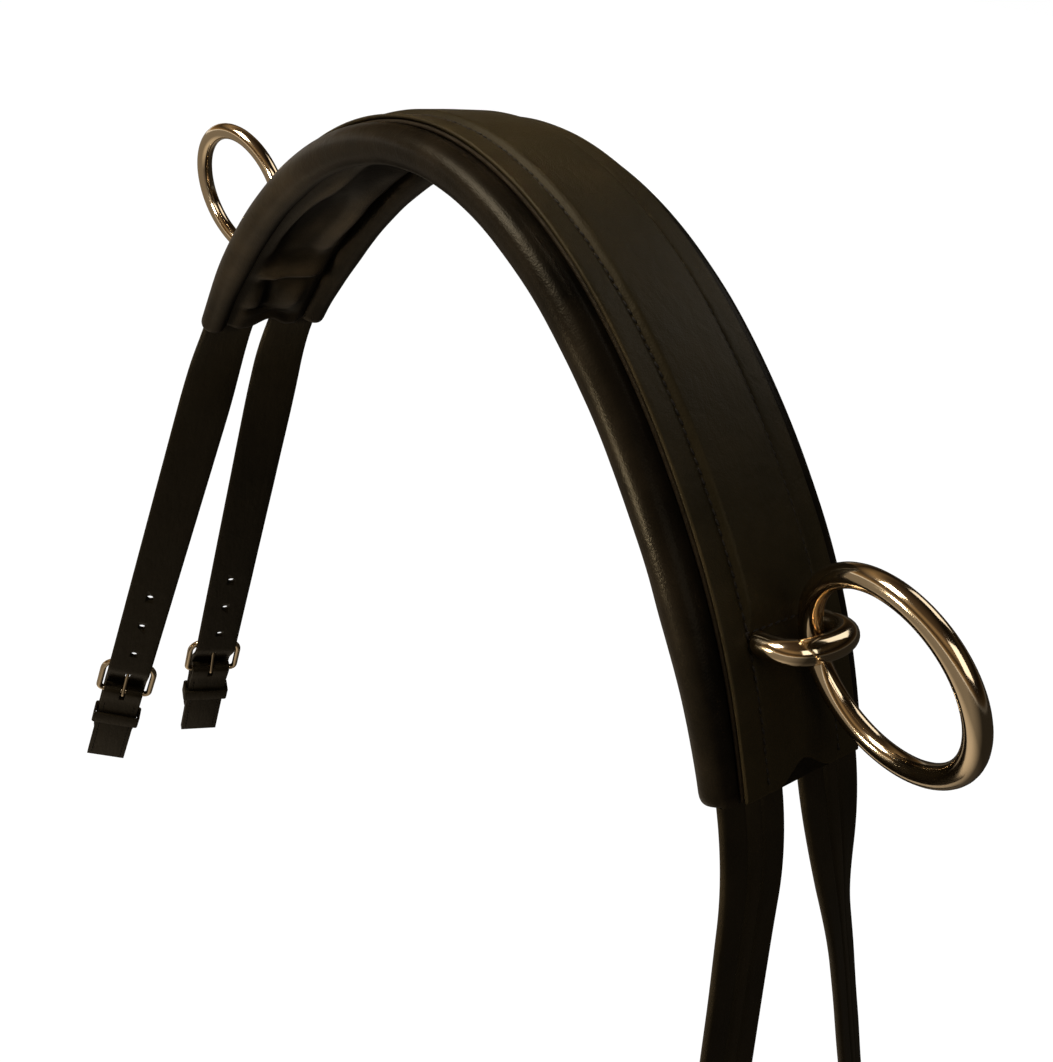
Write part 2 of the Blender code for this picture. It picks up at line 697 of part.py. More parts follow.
class HangingStrap:
    """The path of one hanging strap and the frame of its buckle."""

    def __init__(self, side, edge, lean, turn_in):
        self.side = side
        self.side_y = edge * STRAP_FROM_MIDDLE
        self.turn_in = turn_in
        self.pivot = on_arch(side * SWING_STATION, self.side_y, SWING_OUT)
        self.first = leg_down(side)
        flat = math.cos(lean)
        self.down = Vector((side * math.sin(HANG_ANGLE) * flat, math.sin(lean), -math.cos(HANG_ANGLE) * flat))
        self.width, self.out = self.face_frame(self.down, turn_in)
        self.steps = 40
        self.bend = self.bend_points()
        start = self.centre(BUCKLE_DISTANCE)
        self.buckle = start - self.out * BILLET_BEHIND_BAR

    def face_frame(self, along, turn):
        """Width and outward directions across the strap, its rear edge turned in by an angle."""
        width = Vector((0.0, 1.0, 0.0))
        width = (width - along * width.dot(along)).normalized()
        out = self.side * along.cross(width)
        turned = math.cos(turn) * width - math.sin(turn) * out
        return turned, self.side * along.cross(turned)

    def along(self, distance):
        """Direction of the strap at a distance from the pad."""
        share = min(max(distance, 0.0) / BEND_LENGTH, 1.0)
        return self.first.slerp(self.down, share)

    def bend_points(self):
        """Places down the bend, at even steps."""
        step = BEND_LENGTH / self.steps
        points = [self.pivot.copy()]
        for index in range(self.steps):
            points.append(points[-1] + self.along((index + 0.5) * step) * step)
        return points

    def centre(self, distance):
        """The middle of the strap above the buckle."""
        if distance <= 0:
            return self.pivot + self.first * distance
        place = min(distance / BEND_LENGTH, 1.0) * self.steps
        index = min(int(place), self.steps - 1)
        point = self.bend[index].lerp(self.bend[index + 1], place - index)
        return point + self.down * max(distance - BEND_LENGTH, 0.0)

    def local(self, across, out, down):
        """A point in the buckle's frame, whose middle is the middle of the buckle."""
        return self.buckle + self.width * across + self.out * out + self.down * down


def billet_out(down):
    """How far out the billet's middle lies, by its distance below the buckle's middle."""
    top = -BUCKLE_HALF_LENGTH + BUCKLE_WIRE_RADIUS
    heel = BUCKLE_HALF_LENGTH - BUCKLE_WIRE_RADIUS / 2
    out = BILLET_BEHIND_BAR + (BILLET_OVER_HEEL - BILLET_BEHIND_BAR) * smooth((down - top) / (heel - top))
    settle = BUCKLE_HALF_LENGTH + BUCKLE_WIRE_RADIUS
    drop = (BILLET_OVER_HEEL - TAIL_OUT) * smooth((down - settle) / CHAPE_JOINED_BELOW_BAR)
    return out - drop


def tongue_crossing():
    """Where the tongue passes through the billet, below the buckle's middle."""
    steps = 200
    best = 0.0
    least = BUCKLE_HALF_LENGTH
    for index in range(steps):
        down = BUCKLE_HALF_LENGTH * (2 * index / steps - 1)
        apart = abs(billet_out(down) - tongue_out(down))
        if apart < least:
            least = apart
            best = down
    return best


def tongue_out(down):
    """How far out the tongue's middle lies, by its distance below the buckle's middle."""
    share = (BUCKLE_HALF_LENGTH - down) / (2 * BUCKLE_HALF_LENGTH)
    return -TONGUE_COIL_RADIUS + (TONGUE_TIP_OUT + TONGUE_COIL_RADIUS) * share


def billet_stations():
    """Distances down a billet: its round end, its bend, its long run, the buckle and its point."""
    half = STRAP_THICKNESS / 2
    line = [-half * math.cos(math.radians(angle)) for angle in (8, 35, 62, 90)]
    line += [BEND_LENGTH * index / 4 for index in range(1, 5)]
    line += [BEND_LENGTH + (TWIST_LENGTH - BEND_LENGTH) * index / 3 for index in range(1, 4)]
    buckle_top = BUCKLE_DISTANCE - BUCKLE_HALF_LENGTH
    buckle_foot = BUCKLE_DISTANCE + BUCKLE_HALF_LENGTH
    line += [(TWIST_LENGTH + buckle_top) / 2]
    line += [buckle_top + 2 * BUCKLE_HALF_LENGTH * index / 10 for index in range(10)]
    line += [buckle_foot + CHAPE_JOINED_BELOW_BAR * index / 4 for index in range(6)]
    end = BUCKLE_DISTANCE + TAIL_LENGTH
    line += [end - POINT_LENGTH * (1 - index / 4) for index in range(5)]
    return line


def billet_half_width(distance):
    """Half the billet's width, drawn in to a rounded point at its foot."""
    left = BUCKLE_DISTANCE + TAIL_LENGTH - distance
    if left >= POINT_LENGTH:
        return STRAP_WIDTH / 2
    share = 1 - max(left, 0.0) / POINT_LENGTH
    return POINT_HALF_WIDTH + (STRAP_WIDTH / 2 - POINT_HALF_WIDTH) * math.sqrt(1 - share * share)


def add_billet(name, strap, material, parent):
    """The hanging strap itself, down through its buckle to its pointed end."""
    half = STRAP_THICKNESS / 2

    def middle(distance):
        if distance <= BUCKLE_DISTANCE - BUCKLE_HALF_LENGTH:
            return strap.centre(distance)
        down = distance - BUCKLE_DISTANCE
        return strap.local(0.0, billet_out(down), down)

    def place(distance, share, face):
        small = SEAT_GAP / 10
        if distance <= 0:
            along = strap.first
            thick = math.sqrt(max(half * half - distance * distance, 0.0))
        else:
            along = (middle(distance + small) - middle(distance - small)).normalized()
            thick = half
        turn = strap.turn_in * smooth(distance / TWIST_LENGTH)
        width, out = strap.face_frame(along, turn)
        if distance > TWIST_LENGTH:
            width = strap.width
            out = strap.side * along.cross(width)
        if abs(share) > 1:
            side = math.copysign(billet_half_width(distance), share)
            thick = thick - STRAP_EDGE_BEVEL if thick > STRAP_EDGE_BEVEL * 2 else thick / 2
        else:
            side = share * (billet_half_width(distance) - STRAP_EDGE_BEVEL)
        return middle(distance) + width * side + out * (thick if face else -thick)

    columns = (-2, -1, 1, 2)
    return add_piece(name, slab(billet_stations(), columns, place), material, strap.pivot, parent)


def add_hole_cutter(name, strap):
    """The billet's punched holes, the one in use drawn long by the tongue."""
    mesh_data = bmesh.new()
    crossing = tongue_crossing()
    tall = STRAP_THICKNESS + CUTTER_OVERRUN
    slot_half_width = TONGUE_RADIUS + TONGUE_SIDE_CLEARANCE
    reach = (STRAP_THICKNESS + 2 * TONGUE_RADIUS + 2 * SEAT_GAP) * TONGUE_REACH_SHARE
    lift = BUCKLE_HALF_LENGTH * math.sin(TONGUE_PLAY)
    holes = [(crossing + lift / 2, slot_half_width, reach + lift)]
    holes += [(crossing - HOLE_SPACING * (k + 1), HOLE_RADIUS, 0.0) for k in range(HOLES_ABOVE)]
    holes += [(crossing + HOLE_SPACING * (k + 1), HOLE_RADIUS, 0.0) for k in range(HOLES_BELOW)]
    for down, radius, stretch in holes:
        level = billet_out(down)
        rings = []
        for out in (level - tall, level + tall):
            ring = []
            for k in range(HOLE_SIDES):
                angle = 2 * math.pi * (k + 0.5) / HOLE_SIDES
                shift = math.copysign(stretch, math.sin(angle)) if stretch else 0.0
                across = radius * math.cos(angle)
                ring.append(mesh_data.verts.new(strap.local(across, out, down + radius * math.sin(angle) + shift)))
            rings.append(ring)
        for k in range(HOLE_SIDES):
            after = (k + 1) % HOLE_SIDES
            mesh_data.faces.new([rings[0][k], rings[0][after], rings[1][after], rings[1][k]])
        mesh_data.faces.new(rings[0][::-1])
        mesh_data.faces.new(rings[1])
    return add_piece(name, mesh_data, bpy.data.materials["leather_outer"])


def add_root(name, strap, material):
    """The strap's end that is sewn inside the pad, as far as the mouth."""
    end = SWING_STATION - STRAP_THICKNESS / 2 - SEAT_GAP
    line = [value for value in stations_between(PLATE_END, LEG_LENGTH)] + [end]
    line[0] += SEAT_GAP
    rows = [strap.side * value for value in line]
    half = STRAP_WIDTH / 2

    def place(station, side_y, face):
        return on_arch(station, strap.side_y + side_y, ROOT_TOP if face else ROOT_UNDER)

    return add_piece(name, slab(rows, (-half, half), place), material)


def rounded_corner(centre_across, centre_down, radius, first, last, steps):
    """Points round one corner of the buckle frame, by angle in degrees."""
    points = []
    for index in range(steps + 1):
        angle = math.radians(first + (last - first) * index / steps)
        points.append((centre_across + radius * math.cos(angle), centre_down + radius * math.sin(angle)))
    return points


def add_buckle_frame(name, strap, material, parent):
    """A round-wire buckle: wide rounded top, straight heel bar at the foot."""
    half = STRAP_WIDTH / 2 + BUCKLE_SIDE_CLEARANCE + BUCKLE_WIRE_RADIUS
    top = -BUCKLE_HALF_LENGTH + BUCKLE_TOP_CORNER
    heel = BUCKLE_HALF_LENGTH - BUCKLE_HEEL_CORNER
    path = rounded_corner(half - BUCKLE_HEEL_CORNER, heel, BUCKLE_HEEL_CORNER, 0, 90, 3)
    path += rounded_corner(BUCKLE_HEEL_CORNER - half, heel, BUCKLE_HEEL_CORNER, 90, 180, 3)
    path += rounded_corner(BUCKLE_TOP_CORNER - half, top, BUCKLE_TOP_CORNER, 180, 270, 5)
    path += rounded_corner(half - BUCKLE_TOP_CORNER, top, BUCKLE_TOP_CORNER, 270, 360, 5)
    points = [strap.local(across, 0.0, down) for across, down in path]
    radii = [BUCKLE_WIRE_RADIUS] * len(points)
    return add_piece(name, tube(points, radii, strap.out, BUCKLE_SIDES, closed=True), material, strap.pivot, parent)


def add_tongue(name, strap, material, parent):
    """The buckle's tongue: coiled round the heel bar, through the billet and onto the top bar."""
    path = []
    for degrees in range(-60, 181, 30):
        angle = math.radians(degrees)
        path.append((TONGUE_COIL_RADIUS * math.cos(angle), BUCKLE_HALF_LENGTH + TONGUE_COIL_RADIUS * math.sin(angle)))
    tip = -BUCKLE_HALF_LENGTH - BUCKLE_WIRE_RADIUS - TONGUE_PAST_BAR
    for down in (BUCKLE_HALF_LENGTH / 2, 0.0, -BUCKLE_HALF_LENGTH / 2, -BUCKLE_HALF_LENGTH):
        path.append((tongue_out(down), down))
    path.append((TONGUE_TIP_OUT, tip))
    points = [strap.local(0.0, out, down) for out, down in path]
    radii = [TONGUE_RADIUS] * (len(points) - 1) + [TONGUE_RADIUS / 2]
    axis = strap.local(0.0, 0.0, BUCKLE_HALF_LENGTH)
    pivot = add_pivot(name + "_pivot", axis - parent.location)
    pivot.parent = parent
    obj = add_piece(name, tube(points, radii, strap.width, TONGUE_SIDES), material, axis)
    obj.parent = pivot
    obj.location = Vector()
    return obj


def chape_path():
    """The folded chape's middle line from its front foot, over the heel bar, to its back foot."""
    foot = BUCKLE_HALF_LENGTH + CHAPE_LENGTH
    joined = BUCKLE_HALF_LENGTH + CHAPE_JOINED_BELOW_BAR
    slot_end = BUCKLE_HALF_LENGTH + CHAPE_JOINED_BELOW_BAR / 2
    slot_out = (CHAPE_FOLD_RADIUS + CHAPE_LEG_OUT) / 2
    seat = BUCKLE_HALF_LENGTH + KEEPER_BELOW_BAR + KEEPER_WIDTH + KEEPER_TO_SEAT
    front = [(CHAPE_LEG_OUT - CHAPE_SEAT_TILT, foot), (CHAPE_LEG_OUT, seat)]
    front += [(CHAPE_LEG_OUT, joined), (slot_out, slot_end)]
    fold = []
    for degrees in range(0, -181, -30):
        angle = math.radians(degrees)
        fold.append((CHAPE_FOLD_RADIUS * math.cos(angle), BUCKLE_HALF_LENGTH + CHAPE_FOLD_RADIUS * math.sin(angle)))
    back = [(-out, down) for out, down in reversed(front[1:])]
    back += [(-CHAPE_LEG_OUT - CHAPE_SEAT_TILT, foot)]
    return front + fold + back


def add_chape(name, strap, material, parent):
    """The folded leather that holds the heel bar, with a slot for the tongue and a flat end to sew down."""
    path = chape_path()
    last = len(path) - 1
    half_slot = TONGUE_RADIUS + TONGUE_SIDE_CLEARANCE
    half = CHAPE_THICKNESS / 2

    def place(index, across, face):
        before = path[max(index - 1, 0)]
        after = path[min(index + 1, last)]
        along = Vector((after[0] - before[0], after[1] - before[1])).normalized()
        shift = half if face else -half
        out = path[index][0] - along[1] * shift
        down = path[index][1] + along[0] * shift
        return strap.local(across, out, down)

    columns = (-CHAPE_WIDTH / 2, -half_slot, half_slot, CHAPE_WIDTH / 2)
    mesh_data = slab(range(len(path)), columns, place, lambda i, j: j == 1 and 3 <= i < last - 3)
    return add_piece(name, mesh_data, material, strap.pivot, parent)


def add_keeper(name, strap, material, parent):
    """The leather loop that holds the billet's tail against the chape."""
    side = STRAP_WIDTH / 2 + SEAT_GAP
    back = -CHAPE_FACE - SEAT_GAP
    front = TAIL_OUT + STRAP_THICKNESS / 2 + SEAT_GAP
    inner = []
    outer = []
    spots = ((side, front, 0), (-side, front, 90), (-side, back, 180), (side, back, 270))
    grow = KEEPER_THICKNESS
    for across, out, first in spots:
        sign_across = math.copysign(1.0, across)
        sign_out = 1.0 if out == front else -1.0
        for degrees in (first, first + 45, first + 90):
            angle = math.radians(degrees)
            inner.append((across, out) if degrees == first + 45 else None)
            round_across = across - sign_across * KEEPER_CORNER + (KEEPER_CORNER + grow) * math.cos(angle)
            round_out = out - sign_out * KEEPER_CORNER + (KEEPER_CORNER + grow) * math.sin(angle)
            outer.append((round_across, round_out))
    inner = [point for point in inner if point]
    mesh_data = bmesh.new()
    top = BUCKLE_HALF_LENGTH + KEEPER_BELOW_BAR
    levels = (top, top + KEEPER_WIDTH)
    out_rings = [[mesh_data.verts.new(strap.local(a, o, down)) for a, o in outer] for down in levels]
    in_rings = [[mesh_data.verts.new(strap.local(a, o, down)) for a, o in inner] for down in levels]
    count = len(outer)
    for k in range(count):
        after = (k + 1) % count
        mesh_data.faces.new([out_rings[0][k], out_rings[0][after], out_rings[1][after], out_rings[1][k]])
    for k in range(4):
        after = (k + 1) % 4
        mesh_data.faces.new([in_rings[0][after], in_rings[0][k], in_rings[1][k], in_rings[1][after]])
        corner = [3 * k, 3 * k + 1, 3 * k + 2]
        following = (3 * k + 3) % count
        for outs, ins in ((out_rings[0], in_rings[0]), (out_rings[1], in_rings[1])):
            for a, b in zip(corner, corner[1:]):
                mesh_data.faces.new([outs[a], outs[b], ins[k]])
            mesh_data.faces.new([outs[corner[2]], outs[following], ins[after], ins[k]])
    return add_piece(name, mesh_data, material, strap.pivot, parent)


def build():
    """Make every piece."""
    clear_scene()
    outer = make_material("leather_outer", (0.018, 0.014, 0.011), 0.42)
    lining = make_material("leather_lining", (0.022, 0.017, 0.015), 0.34)
    strap_leather = make_material("leather_strap", (0.020, 0.016, 0.012), 0.45)
    foam = make_material("foam", (0.55, 0.52, 0.42), 0.9)
    felt = make_material("filler_felt", (0.12, 0.10, 0.08), 0.9)
    nickel = make_material("polished_nickel", (0.72, 0.66, 0.57), 0.12, 1.0)
    steel = make_material("plated_steel", (0.55, 0.55, 0.55), 0.35, 1.0)

    base = add_base_strap(outer)
    cover = add_top_cover(outer)
    add_panel_filler(felt)
    add_pad_lining(lining)
    add_foam_core(foam)

    for word, side in (("left", -1), ("right", 1)):
        add_staple(word + "_ring_staple", side, nickel)
        plate = add_staple_plate(word + "_staple_plate", side, steel)
        holes = add_pin_cutter(word + "_pin_holes", side)
        for target in (base, cover, plate):
            cut(target, holes)
        for hand_word, hand in (("front", -1), ("rear", 1)):
            add_burr(word + "_" + hand_word + "_burr", side, hand, steel)
        add_ring(word + "_rein_ring", side, nickel)

    for word, (side, edge, lean, turn_in) in STRAPS.items():
        strap = HangingStrap(side, edge, lean, turn_in)
        swing = add_pivot(word + "_strap_swing", strap.pivot)
        add_root(word + "_strap_root", strap, strap_leather)
        billet = add_billet(word + "_billet", strap, strap_leather, swing)
        cut(billet, add_hole_cutter(word + "_holes", strap))
        add_buckle_frame(word + "_buckle_frame", strap, nickel, swing)
        add_tongue(word + "_buckle_tongue", strap, nickel, swing)
        add_chape(word + "_chape", strap, strap_leather, swing)
        add_keeper(word + "_keeper", strap, strap_leather, swing)


build()
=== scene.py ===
# %% [markdown]
# # A padded driving harness neck strap
# The strap lies over an animal's neck. Its outside is two layers of stout leather, sewn through in long
# rows, and its inside is a soft lining that is rolled round a foam bead along each edge. A rein ring
# hangs in a staple on each side, and four straps hang from the split ends, two on each side.
# The sizes and the joints come from a solid model, which this script loads as a fixed frame. The script
# then dresses the frame: finer shapes, real leather and metal, stitches, light and a camera.

# %% Load the frame and note its box
import math

import bmesh
import bpy
from mathutils import Matrix, Vector, noise


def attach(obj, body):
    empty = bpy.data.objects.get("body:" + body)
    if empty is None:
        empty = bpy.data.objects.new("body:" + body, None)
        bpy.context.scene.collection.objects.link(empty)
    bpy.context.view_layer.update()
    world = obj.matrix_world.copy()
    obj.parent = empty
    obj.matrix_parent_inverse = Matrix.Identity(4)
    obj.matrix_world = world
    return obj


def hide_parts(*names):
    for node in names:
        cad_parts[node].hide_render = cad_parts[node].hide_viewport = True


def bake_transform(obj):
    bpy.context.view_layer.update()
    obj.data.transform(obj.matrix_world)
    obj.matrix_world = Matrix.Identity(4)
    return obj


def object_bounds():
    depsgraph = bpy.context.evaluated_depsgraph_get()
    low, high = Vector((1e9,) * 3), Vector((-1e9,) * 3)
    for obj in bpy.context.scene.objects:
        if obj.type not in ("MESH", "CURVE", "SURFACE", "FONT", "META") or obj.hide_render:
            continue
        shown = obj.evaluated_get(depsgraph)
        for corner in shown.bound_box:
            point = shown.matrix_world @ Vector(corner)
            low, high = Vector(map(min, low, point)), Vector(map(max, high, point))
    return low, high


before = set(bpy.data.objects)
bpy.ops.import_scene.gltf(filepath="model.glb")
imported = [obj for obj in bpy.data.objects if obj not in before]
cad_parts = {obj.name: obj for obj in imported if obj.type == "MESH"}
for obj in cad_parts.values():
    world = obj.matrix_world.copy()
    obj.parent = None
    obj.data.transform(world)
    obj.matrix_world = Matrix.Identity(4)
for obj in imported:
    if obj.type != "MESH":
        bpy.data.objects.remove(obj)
cad_box = [list(corner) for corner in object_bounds()]
MM = 0.001

# %% [markdown]
# ## The camera
# The viewer stands above and to the right of the front edge, and looks down at about 30 degrees.
# A camera could be aimed with a Track To constraint. Here its three directions are written out instead,
# because the strap was held slightly askew, and a matrix holds that roll as well.

# %% Place the camera
EYE = Vector((0.32904, -0.24513, 0.09608))
LOOK = Vector((-0.6468, 0.5665, -0.5106)).normalized()
HEAD_UP = Vector((-0.4904, 0.2038, 0.8473))
LENS = 36.98
NEAREST = 0.01


def add_object(name, data):
    """Put new data into the scene."""
    piece = bpy.data.objects.new(name, data)
    bpy.context.scene.collection.objects.link(piece)
    return piece


right_hand = LOOK.cross(HEAD_UP).normalized()
level_up = right_hand.cross(LOOK)
camera_data = bpy.data.cameras.new("camera")
camera_data.lens = LENS
camera_data.clip_start = NEAREST
camera = add_object("camera", camera_data)
turn = Matrix((right_hand, level_up, -LOOK)).transposed().to_4x4()
camera.matrix_world = Matrix.Translation(EYE) @ turn
bpy.context.scene.camera = camera
bpy.context.scene.view_settings.view_transform = "Standard"
print("camera lens", LENS, "mm at", tuple(EYE))

# %% [markdown]
# ## Node trees as tables
# The room, each finish and the sewing all need a tree of nodes. A tree that is made node by node takes a
# page of code, so here it is a table of nodes and a list of links, and one function builds it.

# %% Define the tree builder
def grow(tree, table, links):
    """Add a table of nodes to a tree and join them.

    The table gives each node's kind and its values, by input name, input number or property. The two
    nodes that a new material has are called surface and result. A kind without the word Node in it is a
    shader node. A link reads "node.output > node.input".
    """
    made = {"surface": tree.nodes.get("Principled BSDF"), "result": tree.nodes.get("Material Output")}
    for name, (kind, *values) in table.items():
        if kind:
            made[name] = tree.nodes.new(kind if "Node" in kind else "ShaderNode" + kind)
        for key, value in (values[0] if values else {}).items():
            if isinstance(key, int) or key in made[name].inputs.keys():
                made[name].inputs[key].default_value = value
            else:
                setattr(made[name], key, value)
    for link in links:
        (source, given), (target, taken) = (end.split(".") for end in link.split(" > "))
        output = made[source].outputs[int(given) if given.isdigit() else given]
        tree.links.new(output, made[target].inputs[int(taken) if taken.isdigit() else taken])
    return made


def to_range(low, high):
    """A Map Range entry: low and high are each a value that comes in and what it becomes."""
    values = {"From Min": low[0], "To Min": low[1], "From Max": high[0], "To Max": high[1]}
    return "MapRange", values


def new_material(name, surface, table, links):
    """A material with the given values of its surface and a tree that is grown from a table."""
    material = bpy.data.materials.new(name)
    material.use_nodes = True
    grow(material.node_tree, {"surface": (None, surface), **table}, links)
    return material


# %% [markdown]
# ## The room
# Black leather shows its form through soft highlights, and polished metal shows mostly what stands round
# it. So the room is a white floor and a white background, with large soft lamps, and one half of the sky
# is a warm brown that only reflections see. That brown gives the rings their golden bands. Reflections
# also see the room brightest at the left front and darker behind and on the right, as the photo's rings
# do, and the floor brightest straight below. The floor is a real plane, so that shadows fall on it.

# %% Make the world
WHITE = (1.0, 1.0, 1.0, 1.0)
ROOM_BANDS = (
    (0.0, (1.0, 1.0, 1.0)), (0.51, (0.9, 0.85, 0.78)), (0.535, (0.36, 0.23, 0.10)),
    (0.60, (0.13, 0.08, 0.035)), (0.68, (0.035, 0.022, 0.012)), (0.80, (0.30, 0.20, 0.10)),
    (0.90, (0.07, 0.045, 0.025)),
)
FILL_LIGHT = (0.13, 0.122, 0.11, 1.0)
BRIGHT_SIDE = (-0.50, -0.86, 0.0)
DARK_END = (-0.35, 0.12)
BRIGHT_END = (0.40, 1.2)


def side_share(sign):
    """Nodes for how bright reflections see the room in a direction: most on its bright side."""
    bright_side = [sign * value for value in BRIGHT_SIDE]
    return {
        "towards": ("VectorMath", {"operation": "DOT_PRODUCT", 1: bright_side}),
        "side": to_range(DARK_END, BRIGHT_END),
    }


def make_world():
    """White where the camera looks, a warm dim room overhead for reflections, and plain soft fill light."""
    world = bpy.data.worlds.new("studio")
    world.use_nodes = True
    bpy.context.scene.world = world
    world.node_tree.nodes.clear()
    made = grow(world.node_tree, {
        "path": ("LightPath",),
        "place": ("TexCoord",),
        "split": ("SeparateXYZ",),
        "height": to_range((-1.0, 0.0), (1.0, 1.0)),
        "sky": ("ValToRGB",),
        "fill": ("Background", {"Color": FILL_LIGHT}),
        "seen": ("Background", {"Color": WHITE}),
        "mirrored": ("Background",),
        "glossy": ("MixShader",),
        "through": ("Math", {"operation": "MAXIMUM"}),
        "last": ("MixShader",),
        "output": ("OutputWorld",),
        **side_share(1.0),
    }, (
        "place.Generated > split.0", "split.Z > height.Value", "height.Result > sky.0",
        "sky.Color > mirrored.Color", "place.Generated > towards.0", "towards.Value > side.Value",
        "side.Result > mirrored.Strength", "path.Is Glossy Ray > glossy.0", "fill.0 > glossy.1",
        "mirrored.0 > glossy.2", "path.Is Camera Ray > through.0", "path.Is Transmission Ray > through.1",
        "through.0 > last.0", "glossy.0 > last.1", "seen.0 > last.2", "last.0 > output.Surface",
    ))
    ramp = made["sky"].color_ramp
    while len(ramp.elements) < len(ROOM_BANDS):
        ramp.elements.new(0.5)
    for stop, (place_up, colour) in zip(ramp.elements, ROOM_BANDS):
        stop.position = place_up
        stop.color = (*colour, 1.0)


make_world()
print("room bands:", len(ROOM_BANDS))

# %% Make the floor
FLOOR_GAP = 1.0 * MM
FLOOR_SIZE = 30.0
FLOOR_PAINT = (0.25, 0.25, 0.25, 1.0)
FLOOR_ROUGHNESS = 0.9
FLOOR_GLOW = 1.30
FLOOR_GLOW_SHARE = 0.78
MIRRORED_FLOOR = (0.50, 0.42, 0.32, 1.0)
FAR_FLOOR = (0.70, 0.45)
NEAR_FLOOR = (0.93, 1.3)


def make_floor(height):
    """A wide pale floor that keeps the shadow and fades into the white background."""
    half = FLOOR_SIZE / 2
    mesh = bpy.data.meshes.new("floor")
    corners = [(-half, -half, height), (half, -half, height), (half, half, height), (-half, half, height)]
    mesh.from_pydata(corners, [], [(0, 1, 2, 3)])
    floor = add_object("floor", mesh)
    matt = {"Base Color": FLOOR_PAINT, "Roughness": FLOOR_ROUGHNESS, "Specular IOR Level": 0.0}
    paint = new_material("floor_paint", matt, {
        "path": ("LightPath",),
        "glow": ("Emission", {"Color": WHITE, "Strength": FLOOR_GLOW}),
        "glow_share": ("Math", {"operation": "MULTIPLY", 1: FLOOR_GLOW_SHARE}),
        "both": ("MixShader",),
        "facing": ("NewGeometry",),
        "mirrored": ("Emission", {"Color": MIRRORED_FLOOR}),
        "split": ("SeparateXYZ",),
        "below": to_range(FAR_FLOOR, NEAR_FLOOR),
        "strength": ("Math", {"operation": "MULTIPLY"}),
        "last": ("MixShader",),
        **side_share(-1.0),
    }, (
        "path.Is Camera Ray > glow_share.0", "glow_share.0 > both.0", "surface.0 > both.1",
        "glow.0 > both.2", "facing.Incoming > split.0", "split.Z > below.Value",
        "facing.Incoming > towards.0", "towards.Value > side.Value", "side.Result > strength.0",
        "below.Result > strength.1", "strength.0 > mirrored.Strength", "path.Is Glossy Ray > last.0",
        "both.0 > last.1", "mirrored.0 > last.2", "last.0 > result.Surface",
    ))
    mesh.materials.append(paint)


floor_height = cad_box[0][2] - FLOOR_GAP
make_floor(floor_height)
print("floor at", round(floor_height, 4))

# %% [markdown]
# ## The lamps
# Area lamps are flat glowing panels. A large one close by gives a broad soft highlight on a round roll,
# and a small one gives a sharp one. The key hangs over the left front, where the long highlights on the
# edge roll point, and two weaker lamps fill the right and the rear. Three small lamps have narrow beams
# and one task each: to light the lining inside the left leg, to draw the bright line along the front
# roll, and to warm the crown.

# %% Hang the lamps
LAMPS = {
    "key": ((-0.55, -0.75, 0.85), (0.0, 0.0, -0.1), 0.50, 14.0, (1.0, 0.93, 0.80), 180.0),
    "right_fill": ((0.95, -0.15, 0.55), (0.1, 0.0, -0.1), 0.55, 2.0, (1.0, 0.93, 0.84), 180.0),
    "rear": ((0.1, 0.95, 0.75), (0.0, 0.0, -0.05), 0.6, 1.8, (1.0, 0.95, 0.88), 180.0),
    "inside": ((0.10, -0.42, 0.02), (-0.165, 0.0, -0.06), 0.10, 0.12, (1.0, 0.92, 0.78), 26.0),
    "roll_line": ((-0.02, -0.45, -0.12), (0.13, -0.04, -0.16), 0.08, 0.17, (1.0, 0.88, 0.68), 60.0),
    "top": ((0.0, 0.1, 0.9), (0.0, 0.0, 0.0), 0.06, 0.03, (1.0, 0.88, 0.70), 10.0),
}


def hang_lamp(name, place, aim, size, watts, colour, spread):
    """One soft square lamp that faces its aim; spread is the width of its beam in degrees."""
    data = bpy.data.lights.new(name, "AREA")
    data.size = size
    data.energy = watts
    data.color = colour
    data.spread = math.radians(spread)
    lamp = add_object(name, data)
    lamp.location = place
    lamp.visible_camera = False
    lamp.rotation_euler = (Vector(aim) - Vector(place)).to_track_quat("-Z", "Y").to_euler()


for lamp_name, facts in LAMPS.items():
    hang_lamp(lamp_name, *facts)
print("lamps:", len(LAMPS))

# %% [markdown]
# ## Leather
# Harness leather is dyed nearly black and waxed. Up close it has a grain of small rounded cells, fine
# creases where it bends, and a little brown where the dye is rubbed. An image could carry all that, but
# a node tree needs no file and has no seams. Cells come from a Voronoi texture, creases from a Noise
# texture that is squeezed in one direction, and both only tilt the surface through Bump nodes. The
# creases follow the strap, so they read a UV map that holds metres along and across the strap.

# %% Define the leather finish
UV_METRES = "metres"
# This attribute is real rubbing on edges, and on the lining it is also painted shade in the crease and the
# hollows of the folds.
WEAR_AND_SHADE = "wear"
# Painted warm light: this specular tint makes every highlight on the leather warm, as a warm lamp would.
WARM_HIGHLIGHT_TINT = (1.0, 0.85, 0.57, 1.0)
POLISHED_WEAR = 0.3
COAT_ROUGHNESS = 0.28
PATCHES = {"Scale": 38.0, "Detail": 4.0, "Roughness": 0.6}
CREASES = {"Scale": 1.0, "Detail": 5.0, "Roughness": 0.55, "Distortion": 0.6}
JITTER_SHARE = 0.35
JITTER_REACH_SHARE = 1.5
RUBBED_PATCH = ((0.35, 0.0), (0.72, 0.4))
GLOSSIER = 0.07
DULLER = 0.09
BUMP_SHARE = 0.5


